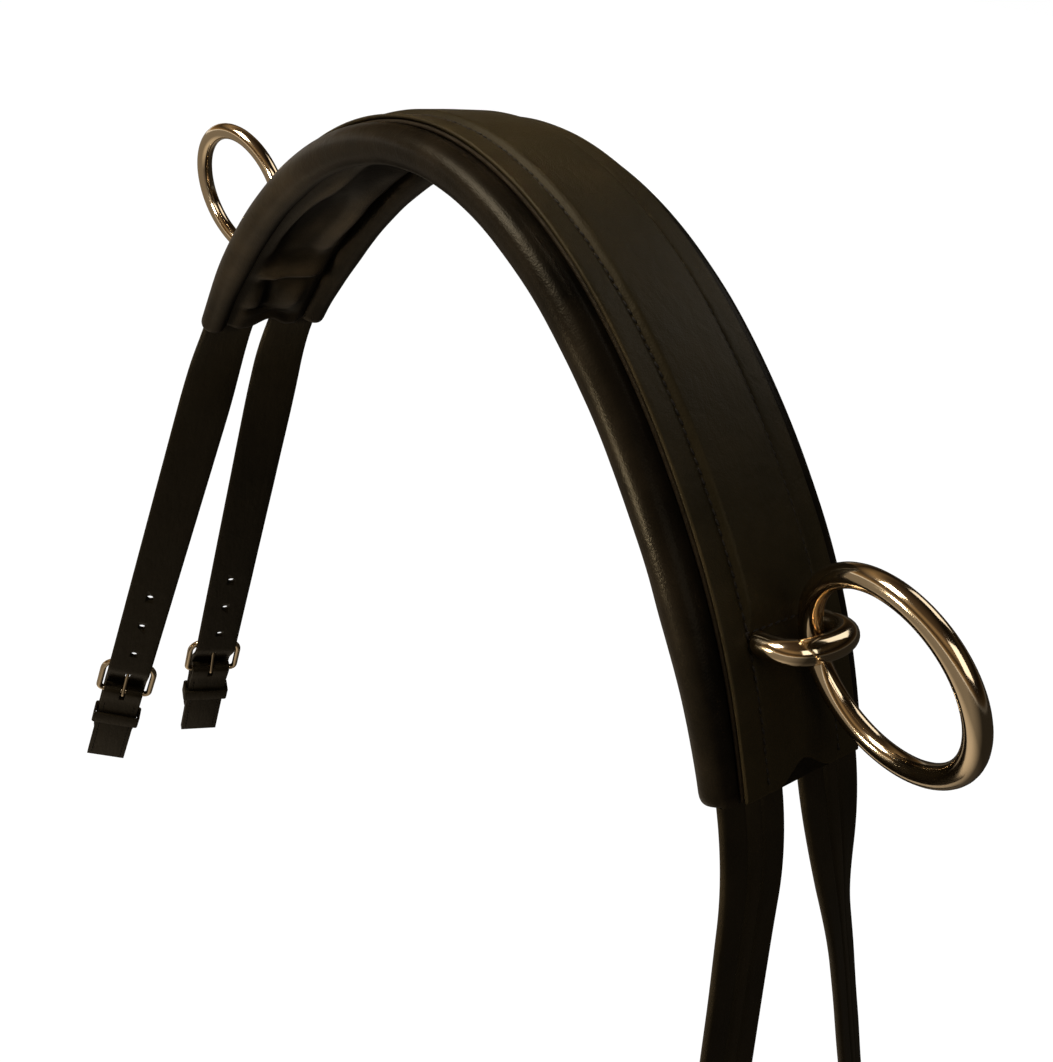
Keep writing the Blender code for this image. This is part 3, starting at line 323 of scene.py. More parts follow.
def leather(name, dye, rubbed, roughness, specular, cell, cell_depth, crease, crease_depth,
            coat=0.0, fold_shade=0.0):
    """Dyed leather: cell and crease are sizes in metres, and the depths are how strongly they tilt light.

    The last argument is the share of the shine that is taken away where the wear value is low: partly
    leather that no hand rubs, and partly painted shade deep in the folds and the crease.
    """
    squeeze = (1.0 / crease[0], 1.0 / crease[1], 1.0)
    # The warm specular tint is painted warm light in the highlights.
    warm_highlights = {"Specular Tint": WARM_HIGHLIGHT_TINT, "Coat Weight": coat, "Coat Roughness": COAT_ROUGHNESS}
    return new_material(name, warm_highlights, {
        "space": ("TexCoord",),
        "flat": ("UVMap", {"uv_map": UV_METRES}),
        "stretch": ("Mapping", {"vector_type": "POINT", "Scale": squeeze}),
        "patches": ("TexNoise", PATCHES),
        "cells": ("TexVoronoi", {"Scale": 1.0 / cell, "feature": "F1"}),
        "jitter": ("TexNoise", {"Scale": JITTER_SHARE / cell, "Detail": 2.0}),
        "moved": ("VectorMath", {"operation": "MULTIPLY_ADD", 1: (cell * JITTER_REACH_SHARE,) * 3}),
        "creases": ("TexNoise", CREASES),
        "wear": ("Attribute", {"attribute_name": WEAR_AND_SHADE}),
        # Where the wear value is low, the shine drops and the colour stays at the dark dye. On the lining
        # this is partly unrubbed leather and partly painted shade in the folds and the crease, and its
        # lighter raised folds are partly painted light.
        "shine": to_range((0.0, specular * (1 - fold_shade)), (POLISHED_WEAR, specular)),
        "uneven": ("Math", {"operation": "MULTIPLY"}),
        "soft": to_range(*RUBBED_PATCH),
        "rub": ("Math", {"operation": "ADD", "use_clamp": True}),
        "colour": ("Mix", {"data_type": "RGBA", 6: (*dye, 1.0), 7: (*rubbed, 1.0)}),
        "gloss": to_range((0.0, roughness - GLOSSIER), (1.0, roughness + DULLER)),
        "fine": ("Bump", {"Strength": cell_depth, "Distance": cell * BUMP_SHARE}),
        "coarse": ("Bump", {"Strength": crease_depth, "Distance": crease[0] * BUMP_SHARE}),
    }, (
        "flat.UV > stretch.Vector", "space.Object > patches.Vector", "space.Object > jitter.Vector",
        "jitter.Color > moved.0", "space.Object > moved.2", "moved.0 > cells.Vector",
        "stretch.Vector > creases.Vector", "wear.Fac > shine.Value", "shine.0 > surface.Specular IOR Level",
        "wear.Fac > uneven.0", "patches.Fac > uneven.1", "patches.Fac > soft.Value", "uneven.0 > rub.0",
        "soft.0 > rub.1", "rub.0 > colour.0", "colour.2 > surface.Base Color",
        "patches.Fac > gloss.Value", "gloss.0 > surface.Roughness", "cells.Distance > fine.Height",
        "creases.Fac > coarse.Height", "fine.Normal > coarse.Normal", "coarse.Normal > surface.Normal",
        "fine.Normal > surface.Coat Normal",
    ))


# %% Make the four leathers
outer_leather = leather(
    "outer_leather", dye=(0.0122, 0.0094, 0.0040), rubbed=(0.029, 0.0205, 0.0088),
    roughness=0.47, specular=0.15, cell=0.55 * MM, cell_depth=0.25,
    crease=(9.0 * MM, 5.0 * MM), crease_depth=0.10)
# The lining's last value takes most of its shine away where the wear value is low: painted shade in the
# crease and the hollows of its folds.
lining_leather = leather(
    "lining_leather", dye=(0.0030, 0.0024, 0.0016), rubbed=(0.022, 0.0155, 0.009),
    roughness=0.33, specular=0.14, cell=0.7 * MM, cell_depth=0.15,
    crease=(7.0 * MM, 8.0 * MM), crease_depth=0.07, coat=0.02, fold_shade=0.75)
strap_leather = leather(
    "strap_leather", dye=(0.0082, 0.0064, 0.0035), rubbed=(0.021, 0.0150, 0.0078),
    roughness=0.44, specular=0.20, cell=0.5 * MM, cell_depth=0.22,
    crease=(12.0 * MM, 3.0 * MM), crease_depth=0.10)
edge_leather = leather(
    "edge_leather", dye=(0.0085, 0.006, 0.0038), rubbed=(0.024, 0.016, 0.009),
    roughness=0.50, specular=0.17, cell=0.4 * MM, cell_depth=0.5,
    crease=(6.0 * MM, 0.8 * MM), crease_depth=0.3)
print("leathers: 4")

# %% [markdown]
# ## Metal, thread, foam and felt
# The rings are polished nickel: a metallic shader whose colour is its reflection. Its colour is warmer
# than nickel's own, which paints in the golden reflection of a warm room. Real polish is never
# perfect, so a noise varies the roughness and a very weak one bends the surface. Thread is a fine twist
# that a Wave texture draws. The foam and the felt lie inside, where little shows.

# %% Define the metal and the fibre finish
MARKS = {"Scale": 120.0, "Detail": 6.0, "Roughness": 0.7}
FEW_MARKS = 0.35
MANY_MARKS = 0.75
RIPPLES = {"Scale": 420.0, "Detail": 3.0}
RIPPLE_BUMP = {"Strength": 0.05, "Distance": 0.2 * MM}
FIBRE_SPECULAR = 0.3
FIBRE_BUMP = 0.5
FIBRE_BUMP_SHARE = 0.3


def metal(name, colour, roughness, rougher):
    """Polished or plated metal with faint handling marks, where it is rougher."""
    return new_material(name, {"Base Color": (*colour, 1.0), "Metallic": 1.0}, {
        "space": ("TexCoord",),
        "marks": ("TexNoise", MARKS),
        "gloss": to_range((FEW_MARKS, roughness), (MANY_MARKS, roughness + rougher)),
        "ripples": ("TexNoise", RIPPLES),
        "bump": ("Bump", RIPPLE_BUMP),
    }, (
        "space.Object > marks.Vector", "marks.Fac > gloss.Value", "gloss.0 > surface.Roughness",
        "space.Object > ripples.Vector", "ripples.Fac > bump.Height", "bump.Normal > surface.Normal",
    ))


def fibre(name, colour, pale, grain, roughness, bands=False):
    """Thread, foam or felt: a rough surface with a fine pattern of pale and dark."""
    pattern = ("TexNoise", {"Scale": 1.0 / grain, "Detail": 3.0})
    if bands:
        pattern = ("TexWave", {"Scale": 1.0 / grain, "bands_direction": "DIAGONAL"})
    return new_material(name, {"Roughness": roughness, "Specular IOR Level": FIBRE_SPECULAR}, {
        "space": ("TexCoord",),
        "pattern": pattern,
        "colours": ("Mix", {"data_type": "RGBA", 6: (*colour, 1.0), 7: (*pale, 1.0)}),
        "bump": ("Bump", {"Strength": FIBRE_BUMP, "Distance": grain * FIBRE_BUMP_SHARE}),
    }, (
        "space.Object > pattern.Vector", "pattern.Fac > colours.0", "colours.2 > surface.Base Color",
        "pattern.Fac > bump.Height", "bump.Normal > surface.Normal",
    ))


# %% Make the other finishes
# Painted reflection: this colour is partly nickel's own slight warmth and partly a warm tint that stands in
# for a warm room seen in the metal.
warm_tinted_nickel = metal("polished_nickel", (0.66, 0.54, 0.38), roughness=0.09, rougher=0.08)
plated = metal("plated_steel", (0.42, 0.42, 0.42), roughness=0.28, rougher=0.15)
thread = fibre(
    "waxed_thread", colour=(0.003, 0.0025, 0.002), pale=(0.016, 0.011, 0.007),
    grain=0.45 * MM, roughness=0.55, bands=True)
foam_finish = fibre(
    "foam", colour=(0.36, 0.33, 0.24), pale=(0.55, 0.52, 0.42), grain=0.8 * MM, roughness=0.95)
felt_finish = fibre(
    "felt", colour=(0.012, 0.010, 0.008), pale=(0.03, 0.025, 0.02), grain=0.3 * MM, roughness=0.95)
print("other finishes: 5")

# %% [markdown]
# ## The arch
# Every piece of the pad follows one bent line, so one function answers where a point lies: so far along
# from the crown, so far across, and so far out from the base strap. The sizes are those of the solids.

# %% Define easing and noise
def smooth(share):
    """Ease from 0 to 1."""
    share = min(max(share, 0.0), 1.0)
    return share * share * (3 - 2 * share)


def noise_at(grain, first, second):
    """Smooth noise at two values; grain is how fine it is in each, and which slice of the noise it is."""
    return noise.noise(Vector((first * grain[0], second * grain[1], grain[2])))


# %% Lay out the arch
LEG_LENGTH = 255.0 * MM
LEG_END_ANGLE = math.radians(53.4)
LEG_TURN_POWER = 1.84
END_BEND_START = 165.0 * MM
END_BEND = {-1: math.radians(5.0), 1: math.radians(10.0)}
CROWN_HEIGHT = 14.3 * MM
ARCH_STEPS = 800


def leg_angle(station, side):
    """How far a leg has turned down at this distance from the crown."""
    share = min(station / LEG_LENGTH, 1.0)
    late = smooth((station - END_BEND_START) / (LEG_LENGTH - END_BEND_START))
    return LEG_END_ANGLE * (1 - (1 - share) ** LEG_TURN_POWER) + END_BEND[side] * late


def arch_line(side):
    """Points of one leg's line, at even steps."""
    step = LEG_LENGTH / ARCH_STEPS
    points = [(0.0, CROWN_HEIGHT)]
    for index in range(ARCH_STEPS):
        angle = leg_angle((index + 0.5) * step, side)
        points.append((points[-1][0] + math.cos(angle) * step, points[-1][1] - math.sin(angle) * step))
    return points


def down_leg(station, side):
    """The direction down a leg at this distance from the crown."""
    angle = leg_angle(station, side)
    return Vector((side * math.cos(angle), 0.0, -math.sin(angle)))


ARCH = {side: arch_line(side) for side in (-1, 1)}

# %% Find a point on the arch
def on_arch(station, side_y, out):
    """A point by its distance along the arch, its place across and its height out."""
    side = -1 if station < 0 else 1
    reach = abs(station)
    angle = leg_angle(reach, side)
    place = min(reach / LEG_LENGTH, 1.0) * ARCH_STEPS
    index = min(int(place), ARCH_STEPS - 1)
    first = ARCH[side][index]
    second = ARCH[side][index + 1]
    share = place - index
    past = max(reach - LEG_LENGTH, 0.0)
    across = first[0] * (1 - share) + second[0] * share + past * math.cos(angle) + out * math.sin(angle)
    height = first[1] * (1 - share) + second[1] * share - past * math.sin(angle) + out * math.cos(angle)
    return Vector((side * across, side_y, height))


print("pad ends at", [tuple(round(c, 4) for c in on_arch(s * LEG_LENGTH, 0.0, 0.0)) for s in (-1, 1)])

# %% [markdown]
# ## From loops to a skin
# A long bent piece is easiest to make as a row of closed loops, one for each step along it, with faces
# between them. Blender's Curve objects could do this with a bevel profile, but loops made in code can
# change their shape on the way. Each point also gets its metres along and across for the leather's
# creases, and a wear value, which is high on edges that rub. On the lining the same value is also
# painted shade: it is low in the crease and in the hollows of the folds, which makes them darker and
# duller.

# %% Turn mesh data into an object
SHARP_ANGLE = 35.0
ROUNDED_SHARP_ANGLE = 50.0
CUT_SHARP_ANGLE = 60.0


def make_object(name, mesh_data, material, angle=SHARP_ANGLE):
    """Turn mesh data into an object at the origin, with its faces outwards and its smooth shading."""
    bmesh.ops.recalc_face_normals(mesh_data, faces=mesh_data.faces)
    if mesh_data.calc_volume(signed=True) < 0:
        bmesh.ops.reverse_faces(mesh_data, faces=mesh_data.faces)
    mesh = bpy.data.meshes.new(name)
    mesh_data.to_mesh(mesh)
    mesh_data.free()
    mesh.shade_smooth()
    mesh.set_sharp_from_angle(angle=math.radians(angle))
    mesh.materials.append(material)
    return add_object(name, mesh)


# %% Define the skin maker
def bridge(mesh_data, rings, closed=False):
    """Faces between each ring of vertices and the next, and over the two ends unless it is closed."""
    for first, second in zip(rings, rings[1:] + (rings[:1] if closed else [])):
        for k in range(len(first)):
            after = (k + 1) % len(first)
            mesh_data.faces.new([first[k], first[after], second[after], second[k]])
    if not closed:
        mesh_data.faces.new(rings[0][::-1])
        mesh_data.faces.new(rings[-1])


def lay_metres(mesh_data, uv_layer, metres_at):
    """Give each corner of each face its metres along and across, which a function of the vertex tells."""
    for face in mesh_data.faces:
        for corner in face.loops:
            corner[uv_layer].uv = metres_at(corner.vert)


def skin(name, loops, material, facts=None, closed=False, angle=SHARP_ANGLE):
    """A skin through loops of points. facts holds (along, across, wear) for each point of each loop."""
    mesh_data = bmesh.new()
    uv_layer = mesh_data.loops.layers.uv.new(UV_METRES)
    wear_layer = mesh_data.verts.layers.float.new(WEAR_AND_SHADE)
    known = {}
    rings = []
    for loop, row in zip(loops, facts or [[(0.0, 0.0, 0.0)] * len(loops[0])] * len(loops)):
        rings.append([mesh_data.verts.new(point) for point in loop])
        for vert, (along, across, wear) in zip(rings[-1], row):
            known[vert] = (along, across)
            vert[wear_layer] = wear
    bridge(mesh_data, rings, closed)
    lay_metres(mesh_data, uv_layer, known.get)
    return make_object(name, mesh_data, material, angle)


# %% Step along the pad and dress a piece
def stations_every(step, first, last):
    """Even places from first to last, both included."""
    count = max(round((last - first) / step), 1)
    return [first + (last - first) * index / count for index in range(count + 1)]


def rows_on_pad(step, start, ends):
    """Places along the pad: even ones between the two starts, and the closer ones of its rounded ends."""
    rows = [-LEG_LENGTH + value for value in ends]
    rows += stations_every(step, -LEG_LENGTH + start, LEG_LENGTH - start)
    return rows + [LEG_LENGTH - value for value in reversed(ends)]


def dress(piece, body, slot, *nodes):
    """Hide the solids that this piece stands for and attach it to the body that it moves with; slot is not
    used.
    """
    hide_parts(*nodes)
    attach(piece, body)
    print(piece.name, "faces", len(piece.data.polygons), "on", body)


# %% [markdown]
# ## The cover and the base strap
# The outer leather is one strip. Its middle is raised by a strip of felt underneath, its two rows of
# stitches lie in pressed grooves, and its edges are rounded and rubbed. Near each ring the felt stops
# and the leather drops flat. At each end the strip is cut in a shallow hollow between the two hanging
# straps. The base strap underneath has the same outline, and its edge shows as a second thin line.

# %% Sizes of the cover
BASE_HALF_WIDTH = 26.4 * MM
BASE_THICKNESS = 1.8 * MM
BASE_EDGE_RADIUS = 0.9 * MM
COVER_UNDER = 2.1 * MM
COVER_THICKNESS = 1.5 * MM
COVER_TOP = COVER_UNDER + COVER_THICKNESS
COVER_EDGE_RADIUS = 0.75 * MM
PITCH = 3.2 * MM
STITCH_FROM_MIDDLE = 16.5 * MM
GROOVE_DEPTH = 0.5 * MM
GROOVE_HALF_WIDTH = 1.3 * MM
GROOVE_PULL = 0.25
PANEL_RISE = 1.7 * MM
PANEL_CROWN = 0.3 * MM
PANEL_SHOULDER = 2.4 * MM
STAPLE_STATION = LEG_LENGTH - 46.0 * MM
PANEL_END = STAPLE_STATION - 10.5 * MM
PANEL_DROP = 8.0 * MM
SCALLOP_DEPTH = 6.0 * MM
SCALLOP_HALF_WIDTH = 12.0 * MM
SCALLOP_REACH = 4 * SCALLOP_DEPTH
RIPPLE_DEPTH = 0.12 * MM
RIPPLE_GRAIN = (55, 90, 3.1)

# %% Shape the cover's surface
def scalloped(station, side_y):
    """Draw the last part of a strip in between the two hanging straps."""
    share = max(1 - abs(side_y) / SCALLOP_HALF_WIDTH, 0.0)
    near = smooth((abs(station) - LEG_LENGTH + SCALLOP_REACH) / SCALLOP_REACH)
    return math.copysign(abs(station) - SCALLOP_DEPTH * smooth(share) * near, station)


def on_pad(station, side_y, out):
    """A point of a layer whose two ends are cut in like the strip's."""
    return on_arch(scalloped(station, side_y), side_y, out)


def panel_height(station, side_y):
    """How far the felt lifts the cover."""
    across = smooth((STITCH_FROM_MIDDLE - abs(side_y)) / PANEL_SHOULDER)
    along = smooth((PANEL_END + PANEL_DROP - abs(station)) / PANEL_DROP)
    crown = PANEL_CROWN * max(1 - (side_y / STITCH_FROM_MIDDLE) ** 2, 0.0)
    return across * along * (PANEL_RISE + crown)


def groove(station, side_y):
    """The pressed groove under a row of stitches, drawn in a little deeper at each stitch."""
    apart = abs(abs(side_y) - STITCH_FROM_MIDDLE) / GROOVE_HALF_WIDTH
    if apart >= 1:
        return 0.0
    pulse = 1 - GROOVE_PULL + GROOVE_PULL * math.cos(2 * math.pi * station / PITCH)
    return GROOVE_DEPTH * pulse * smooth(1 - apart)


def cover_surface(station, side_y):
    """Height of the cover's outer face."""
    ripple = RIPPLE_DEPTH * noise_at(RIPPLE_GRAIN, station, side_y)
    return COVER_TOP + panel_height(station, side_y) - groove(station, side_y) + ripple


def base_surface(station, side_y):
    """Height of the base strap's outer face, which is plain."""
    return BASE_THICKNESS


# %% Build one loop round a strip
HALF_COLUMNS = (
    0.0, 3.0, 6.0, 9.0, 12.0, 13.6, 14.4, 15.0, 15.4,
    15.8, 16.15, 16.5, 16.85, 17.2, 17.8, 19.0, 21.5, 24.0,
)
UNDER_EVERY = 3
RIGHT_EDGE = (60, 30, 0, -30, -60)
LEFT_EDGE = (-120, -150, 180, 150, 120)
EDGE_WEAR = 1.0
NEAR_EDGE_WEAR = 0.15
UNDER_WEAR = 0.2
NEAR_EDGE = 3.0 * MM


def both_sides(half):
    """Places across in metres, from those of one half in millimetres, the middle first."""
    return [-value * MM for value in reversed(half[1:])] + [value * MM for value in half]


def round_edge(start, radius, middle, tall, edge):
    """Points round one long edge, fully rubbed, as (across, out, wear)."""
    points = []
    for angle in map(math.radians, edge):
        points.append((start + radius * math.cos(angle), middle + tall * math.sin(angle), EDGE_WEAR))
    return points


def strip_loop(station, under, top_at, edge_radius):
    """One closed loop round a flat strip: its top, its round edges and its underside."""
    columns = both_sides([*HALF_COLUMNS, (BASE_HALF_WIDTH - edge_radius) / MM])
    top = top_at(station, columns[-1])
    rounding = (edge_radius, (top + under) / 2, (top - under) / 2)
    points = []
    for side_y in columns:
        wear = NEAR_EDGE_WEAR * (abs(side_y) > BASE_HALF_WIDTH - NEAR_EDGE)
        points.append((side_y, top_at(station, side_y), wear))
    points += round_edge(columns[-1], *rounding, RIGHT_EDGE)
    for side_y in reversed(columns[::UNDER_EVERY]):
        lift = panel_height(station, side_y) if under > BASE_THICKNESS else 0.0
        points.append((side_y, under + lift, UNDER_WEAR))
    return points + round_edge(columns[0], *rounding, LEFT_EDGE)


# %% Lay a strip over the arch
ROW_STEP = 2.5 * MM
ROWS_START = 2.2 * MM
END_ROUND = 1.1 * MM
END_ROWS = (0.0, 0.35 * MM, END_ROUND)
END_PINCH = 0.35


def add_strip(name, under, top_at, edge_radius, material):
    """A leather strip over the whole arch, with its scalloped ends."""
    loops = []
    facts = []
    for station in rows_on_pad(ROW_STEP, ROWS_START, END_ROWS):
        left = min(abs(abs(station) - LEG_LENGTH) / END_ROUND, 1.0)
        pinch = 1 - END_PINCH * (1 - math.sqrt(left * (2 - left)))
        loop = []
        fact = []
        for side_y, out, wear in strip_loop(station, under, top_at, edge_radius):
            middle = (under + top_at(station, side_y)) / 2
            place = scalloped(station, side_y)
            loop.append(on_arch(place, side_y, middle + (out - middle) * pinch))
            fact.append((place, side_y, max(wear, 1 - left)))
        loops.append(loop)
        facts.append(fact)
    return skin(name, loops, material, facts)


# %% Make the cover and the base strap
cover = add_strip("cover_leather", COVER_UNDER, cover_surface, COVER_EDGE_RADIUS, outer_leather)
dress(cover, "pad", "leather_outer", "top_cover")
base = add_strip("base_leather", 0.0, base_surface, BASE_EDGE_RADIUS, edge_leather)
dress(base, "pad", "leather_outer", "base_strap")

# %% [markdown]
# ## The soft lining
# The lining is the piece that a hand feels first: a thin soft leather that is rolled round a bead along
# each edge, dips in a crease beside each roll, and lies over foam in between. On the real pad it is cut
# a little too long on purpose, so that it can bend with the pad, and on the inside of the bend the spare
# leather gathers in soft folds across the strap. A cloth simulation could find such folds, and so can
# waves that are set one by one. The loop's shape comes from the pad's section first, and the folds follow.

# %% Sizes of the lining
ROLL_RADIUS = 7.5 * MM
ROLL_BESIDE_BASE = 3.3 * MM
ROLL_DROP = 6.8 * MM
ROLL_END_RADIUS = 6.2 * MM
ROLL_END_DROP = 5.2 * MM
ROLL_END_BESIDE_BASE = 2.6 * MM
ROLL_TAPER_LENGTH = 66.0 * MM
LINING_THICKNESS = 1.2 * MM
LINING_LIP = 2.2 * MM
LIP_EDGE = BASE_HALF_WIDTH - LINING_LIP
LIP_CORNER = BASE_HALF_WIDTH - 0.4 * MM
SEAT_GAP = 0.3 * MM
PANEL_UNDER_DEPTH = 9.2 * MM
CREASE_DEPTH = 7.4 * MM
CREASE_OUT = -CREASE_DEPTH + 0.5 * MM
CREASE_LEAN = 0.3 * MM
CREASE_LIFT = 0.2 * MM
CREASE_BESIDE_ROLL = 7.0 * MM
STRAP_WIDTH = 28.0 * MM
STRAP_THICKNESS = 3.0 * MM
STRAP_FROM_MIDDLE = 18.2 * MM
MOUTH_WALL = STRAP_FROM_MIDDLE + STRAP_WIDTH / 2 + 0.6 * MM
MOUTH_START = LEG_LENGTH - 7.0 * MM
LIP_UNDER = -SEAT_GAP - LINING_THICKNESS
ROOT_TOP = LIP_UNDER - SEAT_GAP
MOUTH_FLOOR = ROOT_TOP - STRAP_THICKNESS - SEAT_GAP


def roll_facts(station):
    """Radius, middle and drop of an edge roll, drawn in towards the pad's end."""
    taper = smooth((abs(station) - LEG_LENGTH + ROLL_TAPER_LENGTH) / ROLL_TAPER_LENGTH)
    radius = ROLL_RADIUS + (ROLL_END_RADIUS - ROLL_RADIUS) * taper
    middle = BASE_HALF_WIDTH + ROLL_BESIDE_BASE + (ROLL_END_BESIDE_BASE - ROLL_BESIDE_BASE) * taper
    drop = ROLL_DROP + (ROLL_END_DROP - ROLL_DROP) * taper
    return radius, middle, drop


# %% [markdown]
# ### Folds of the lining
# A cross fold is a short wave right across the panel, given as its place along the pad, its width and
# depth in millimetres, and its slant. A lump is a round swelling or hollow, given as its place along and
# across, its length, width and depth. On the left leg, where the inside shows, they follow the photo,
# and the rest has its own set, because leather never folds the same way twice. A slow noise bends the
# folds, and a finer one roughens the rolls.

# %% Set the folds
CROSS_FOLDS = (
    (-203.0, 5.5, 4.2, 0.15), (-191.0, 6.5, -1.6, 0.1), (-213.0, 4.5, -2.2, 0.0), (-122.0, 12.0, 1.0, -0.5),
    (-88.0, 11.0, -1.2, -0.3), (-60.0, 12.0, 1.5, 0.2), (-28.0, 13.0, -1.0, 0.4), (6.0, 14.0, 1.4, -0.3),
    (38.0, 12.0, -1.1, 0.3), (72.0, 13.0, 1.5, -0.4), (104.0, 11.0, -1.0, 0.2), (140.0, 15.0, 1.5, 0.4),
    (176.0, 10.0, -1.4, -0.2), (204.0, 7.0, 2.2, 0.1), (218.0, 6.0, -1.3, 0.0),
)
LUMPS = (
    (-154.0, -7.0, 28.0, 8.0, -5.5), (-150.0, 13.5, 36.0, 5.5, 5.0), (-178.0, 17.0, 9.0, 4.0, 1.8),
    (-138.0, -17.0, 52.0, 3.2, 6.0), (-133.0, 17.0, 8.0, 3.5, -2.4), (-231.0, -16.0, 9.0, 6.0, 3.6),
    (-238.0, -14.0, 2.4, 9.0, -3.0), (-223.0, -6.0, 12.0, 3.4, -4.0), (-227.0, 8.0, 12.0, 6.5, 3.2),
    (-246.0, 3.0, 4.0, 12.0, -1.8), (-104.0, -13.0, 22.0, 6.0, 2.0), (-80.0, 4.0, 26.0, 8.0, -1.8),
    (150.0, 9.0, 24.0, 8.0, -1.8), (162.0, -12.0, 26.0, 5.0, 2.0), (230.0, 12.0, 9.0, 7.0, 2.2),
    (228.0, -4.0, 10.0, 3.5, -2.0), (236.0, -15.0, 8.0, 6.0, 1.8), (60.0, 10.0, 18.0, 7.0, -1.5),
)

# %% Push the panel out by the folds
FOLD_END = 3.0
FOLD_BEND = 5.0
FOLD_GRAIN = (1, 60, 0.7)
FOLD_EASE = 1.6
LUMP_SLANT = 0.06
LOOSE_DEPTH = 0.35 * MM
LOOSE_GRAIN = (45, 110, 2.2)


def fold_height(station, side_y, half_width):
    """How far folds and lumps push the panel out, in metres: 0 at the creases and full in between."""
    inside = smooth(FOLD_EASE * (1 - abs(side_y / half_width)))
    total = 0.0
    for place, width, depth, slant in CROSS_FOLDS:
        bend = FOLD_BEND * noise_at(FOLD_GRAIN, place, side_y)
        away = (station / MM - place - slant * side_y / MM - bend) / width
        if abs(away) < FOLD_END:
            total += depth * MM * math.exp(-away * away)
    for place, across, long, wide, depth in LUMPS:
        away_long = (station / MM - place) / long
        away_wide = (side_y / MM - across - LUMP_SLANT * (station / MM - place)) / wide
        if abs(away_long) < FOLD_END and abs(away_wide) < FOLD_END:
            total += depth * MM * math.exp(-away_long * away_long - away_wide * away_wide)
    return (total + LOOSE_DEPTH * noise_at(LOOSE_GRAIN, station, side_y)) * inside


# %% Wrinkle the rolls and wave the panel
FINE_WRINKLE = 0.012
FINE_GRAIN = (230, 0.03, 9.0)
SLOW_WRINKLE = 0.24
SLOW_GRAIN = (45, 0.015, 4.0)
OUTSIDE_WRINKLE = 0.45
PUCKER_DEPTH = 0.7 * MM
PUCKER_LENGTH = 62.0 * MM
PUCKER_HALF_WIDTH = BASE_HALF_WIDTH - 4.0 * MM


def roll_wrinkle(station, degrees):
    """Fine crosswise wrinkles on a roll, strongest on the inside of the bend."""
    inward = OUTSIDE_WRINKLE + (1 - OUTSIDE_WRINKLE) * max(-math.sin(math.radians(degrees)), 0.0)
    fine = FINE_WRINKLE * noise_at(FINE_GRAIN, station, degrees)
    slow = SLOW_WRINKLE * noise_at(SLOW_GRAIN, station, degrees)
    return (fine + slow) * MM * inward


def wave(station, side_y):
    """The panel's long shallow wave, as on the solid."""
    share = max(1 - abs(side_y) / PUCKER_HALF_WIDTH, 0.0)
    return 0.5 * PUCKER_DEPTH * share * math.sin(2 * math.pi * station / PUCKER_LENGTH + 2 * share)


# %% [markdown]
# ### The lining's loop
# The loop starts at the lip that is sewn under the base strap, goes round the right roll, dips in the
# crease, crosses the panel and comes back round the left roll. The inner side of the leather follows at
# its thickness, and near each end it opens to the mouth where the hanging straps come out.

# %% Build the lining's outer line
ROLL_SWEEP = range(108, -136, -9)
HAND_SHIFT = 40.0 * MM
FOAM_UNDER = -7.2 * MM
FULLER = 0.8 * MM
SOFT_LIMIT = 1.0 * MM
# The lining's wear values are partly rubbing and partly painted shade: the crease and the hollows of the
# folds get little, so they come out darker and duller, and the raised folds get more, so they come out
# lighter.
RUB_AND_SHADE_RISE = 4.0 * MM
LIP_WEAR = 0.2
LIP_CORNER_WEAR = 0.3
CREASE_WEAR_AND_SHADE = 0.1
PANEL_WEAR_AND_SHADE = 0.12
ROLL_WEAR = 0.5
ROLL_WEAR_TURN = 0.5
PANEL_STEPS = 15
DOME_RISE = 3.2
DOME_POWER = 0.7
FOAM_CONTACT = 0.8


def half_section(station, hand):
    """Outer points of one half, from the lip to the middle, as (across, out, wear and shade): the wear
    value is low, as painted shade, in the crease and the hollows of the folds.
    """
    radius, middle, drop = roll_facts(station)
    points = [(LIP_EDGE, -SEAT_GAP, LIP_WEAR), (LIP_CORNER, -SEAT_GAP, LIP_CORNER_WEAR)]
    for degrees in ROLL_SWEEP:
        angle = math.radians(degrees)
        swell = radius + roll_wrinkle(station + (HAND_SHIFT if hand < 0 else 0.0), degrees)
        wear = ROLL_WEAR * max(math.cos(angle + ROLL_WEAR_TURN), 0.0)
        points.append((middle + swell * math.cos(angle), swell * math.sin(angle) - drop, wear))
    last_side, last_out, wear = points[-1]
    crease = middle - CREASE_BESIDE_ROLL
    between = (last_side + crease) / 2 - CREASE_LEAN
    # Painted shade: the crease gets little or no wear, so it is darker and duller.
    points.append((between, (last_out - CREASE_DEPTH) / 2 + CREASE_LIFT, CREASE_WEAR_AND_SHADE))
    points.append((crease, CREASE_OUT, 0.0))
    for index in range(1, PANEL_STEPS):
        share = 1 - index / PANEL_STEPS
        side_y = crease * share
        dome = smooth(min((1 - share) * DOME_RISE, 1.0)) ** DOME_POWER
        out = CREASE_OUT - (PANEL_UNDER_DEPTH + CREASE_OUT) * dome
        fold = fold_height(station, hand * side_y, crease)
        out += wave(station, side_y) - fold - FULLER * dome
        spare = FOAM_UNDER - out
        clear = FOAM_UNDER - 0.5 * (spare + math.hypot(spare, SOFT_LIMIT))
        out += (clear - out) * smooth((dome - FOAM_CONTACT) / (1 - FOAM_CONTACT))
        # Painted shade and rubbing: the panel's hollows get less wear and come out darker and duller, and
        # its raised folds get more and come out lighter.
        points.append((side_y, out, dome * min(max(PANEL_WEAR_AND_SHADE + fold / RUB_AND_SHADE_RISE, 0.0), 1.0)))
    return points


def outer_section(station):
    """The whole outer line, from the right lip under to the left lip."""
    right = half_section(station, 1)
    left = [(-side_y, out, wear) for side_y, out, wear in reversed(half_section(station, -1))]
    centre_out = (right[-1][1] + left[0][1]) / 2
    centre_wear = (right[-1][2] + left[0][2]) / 2
    return right + [(0.0, centre_out, centre_wear)] + left


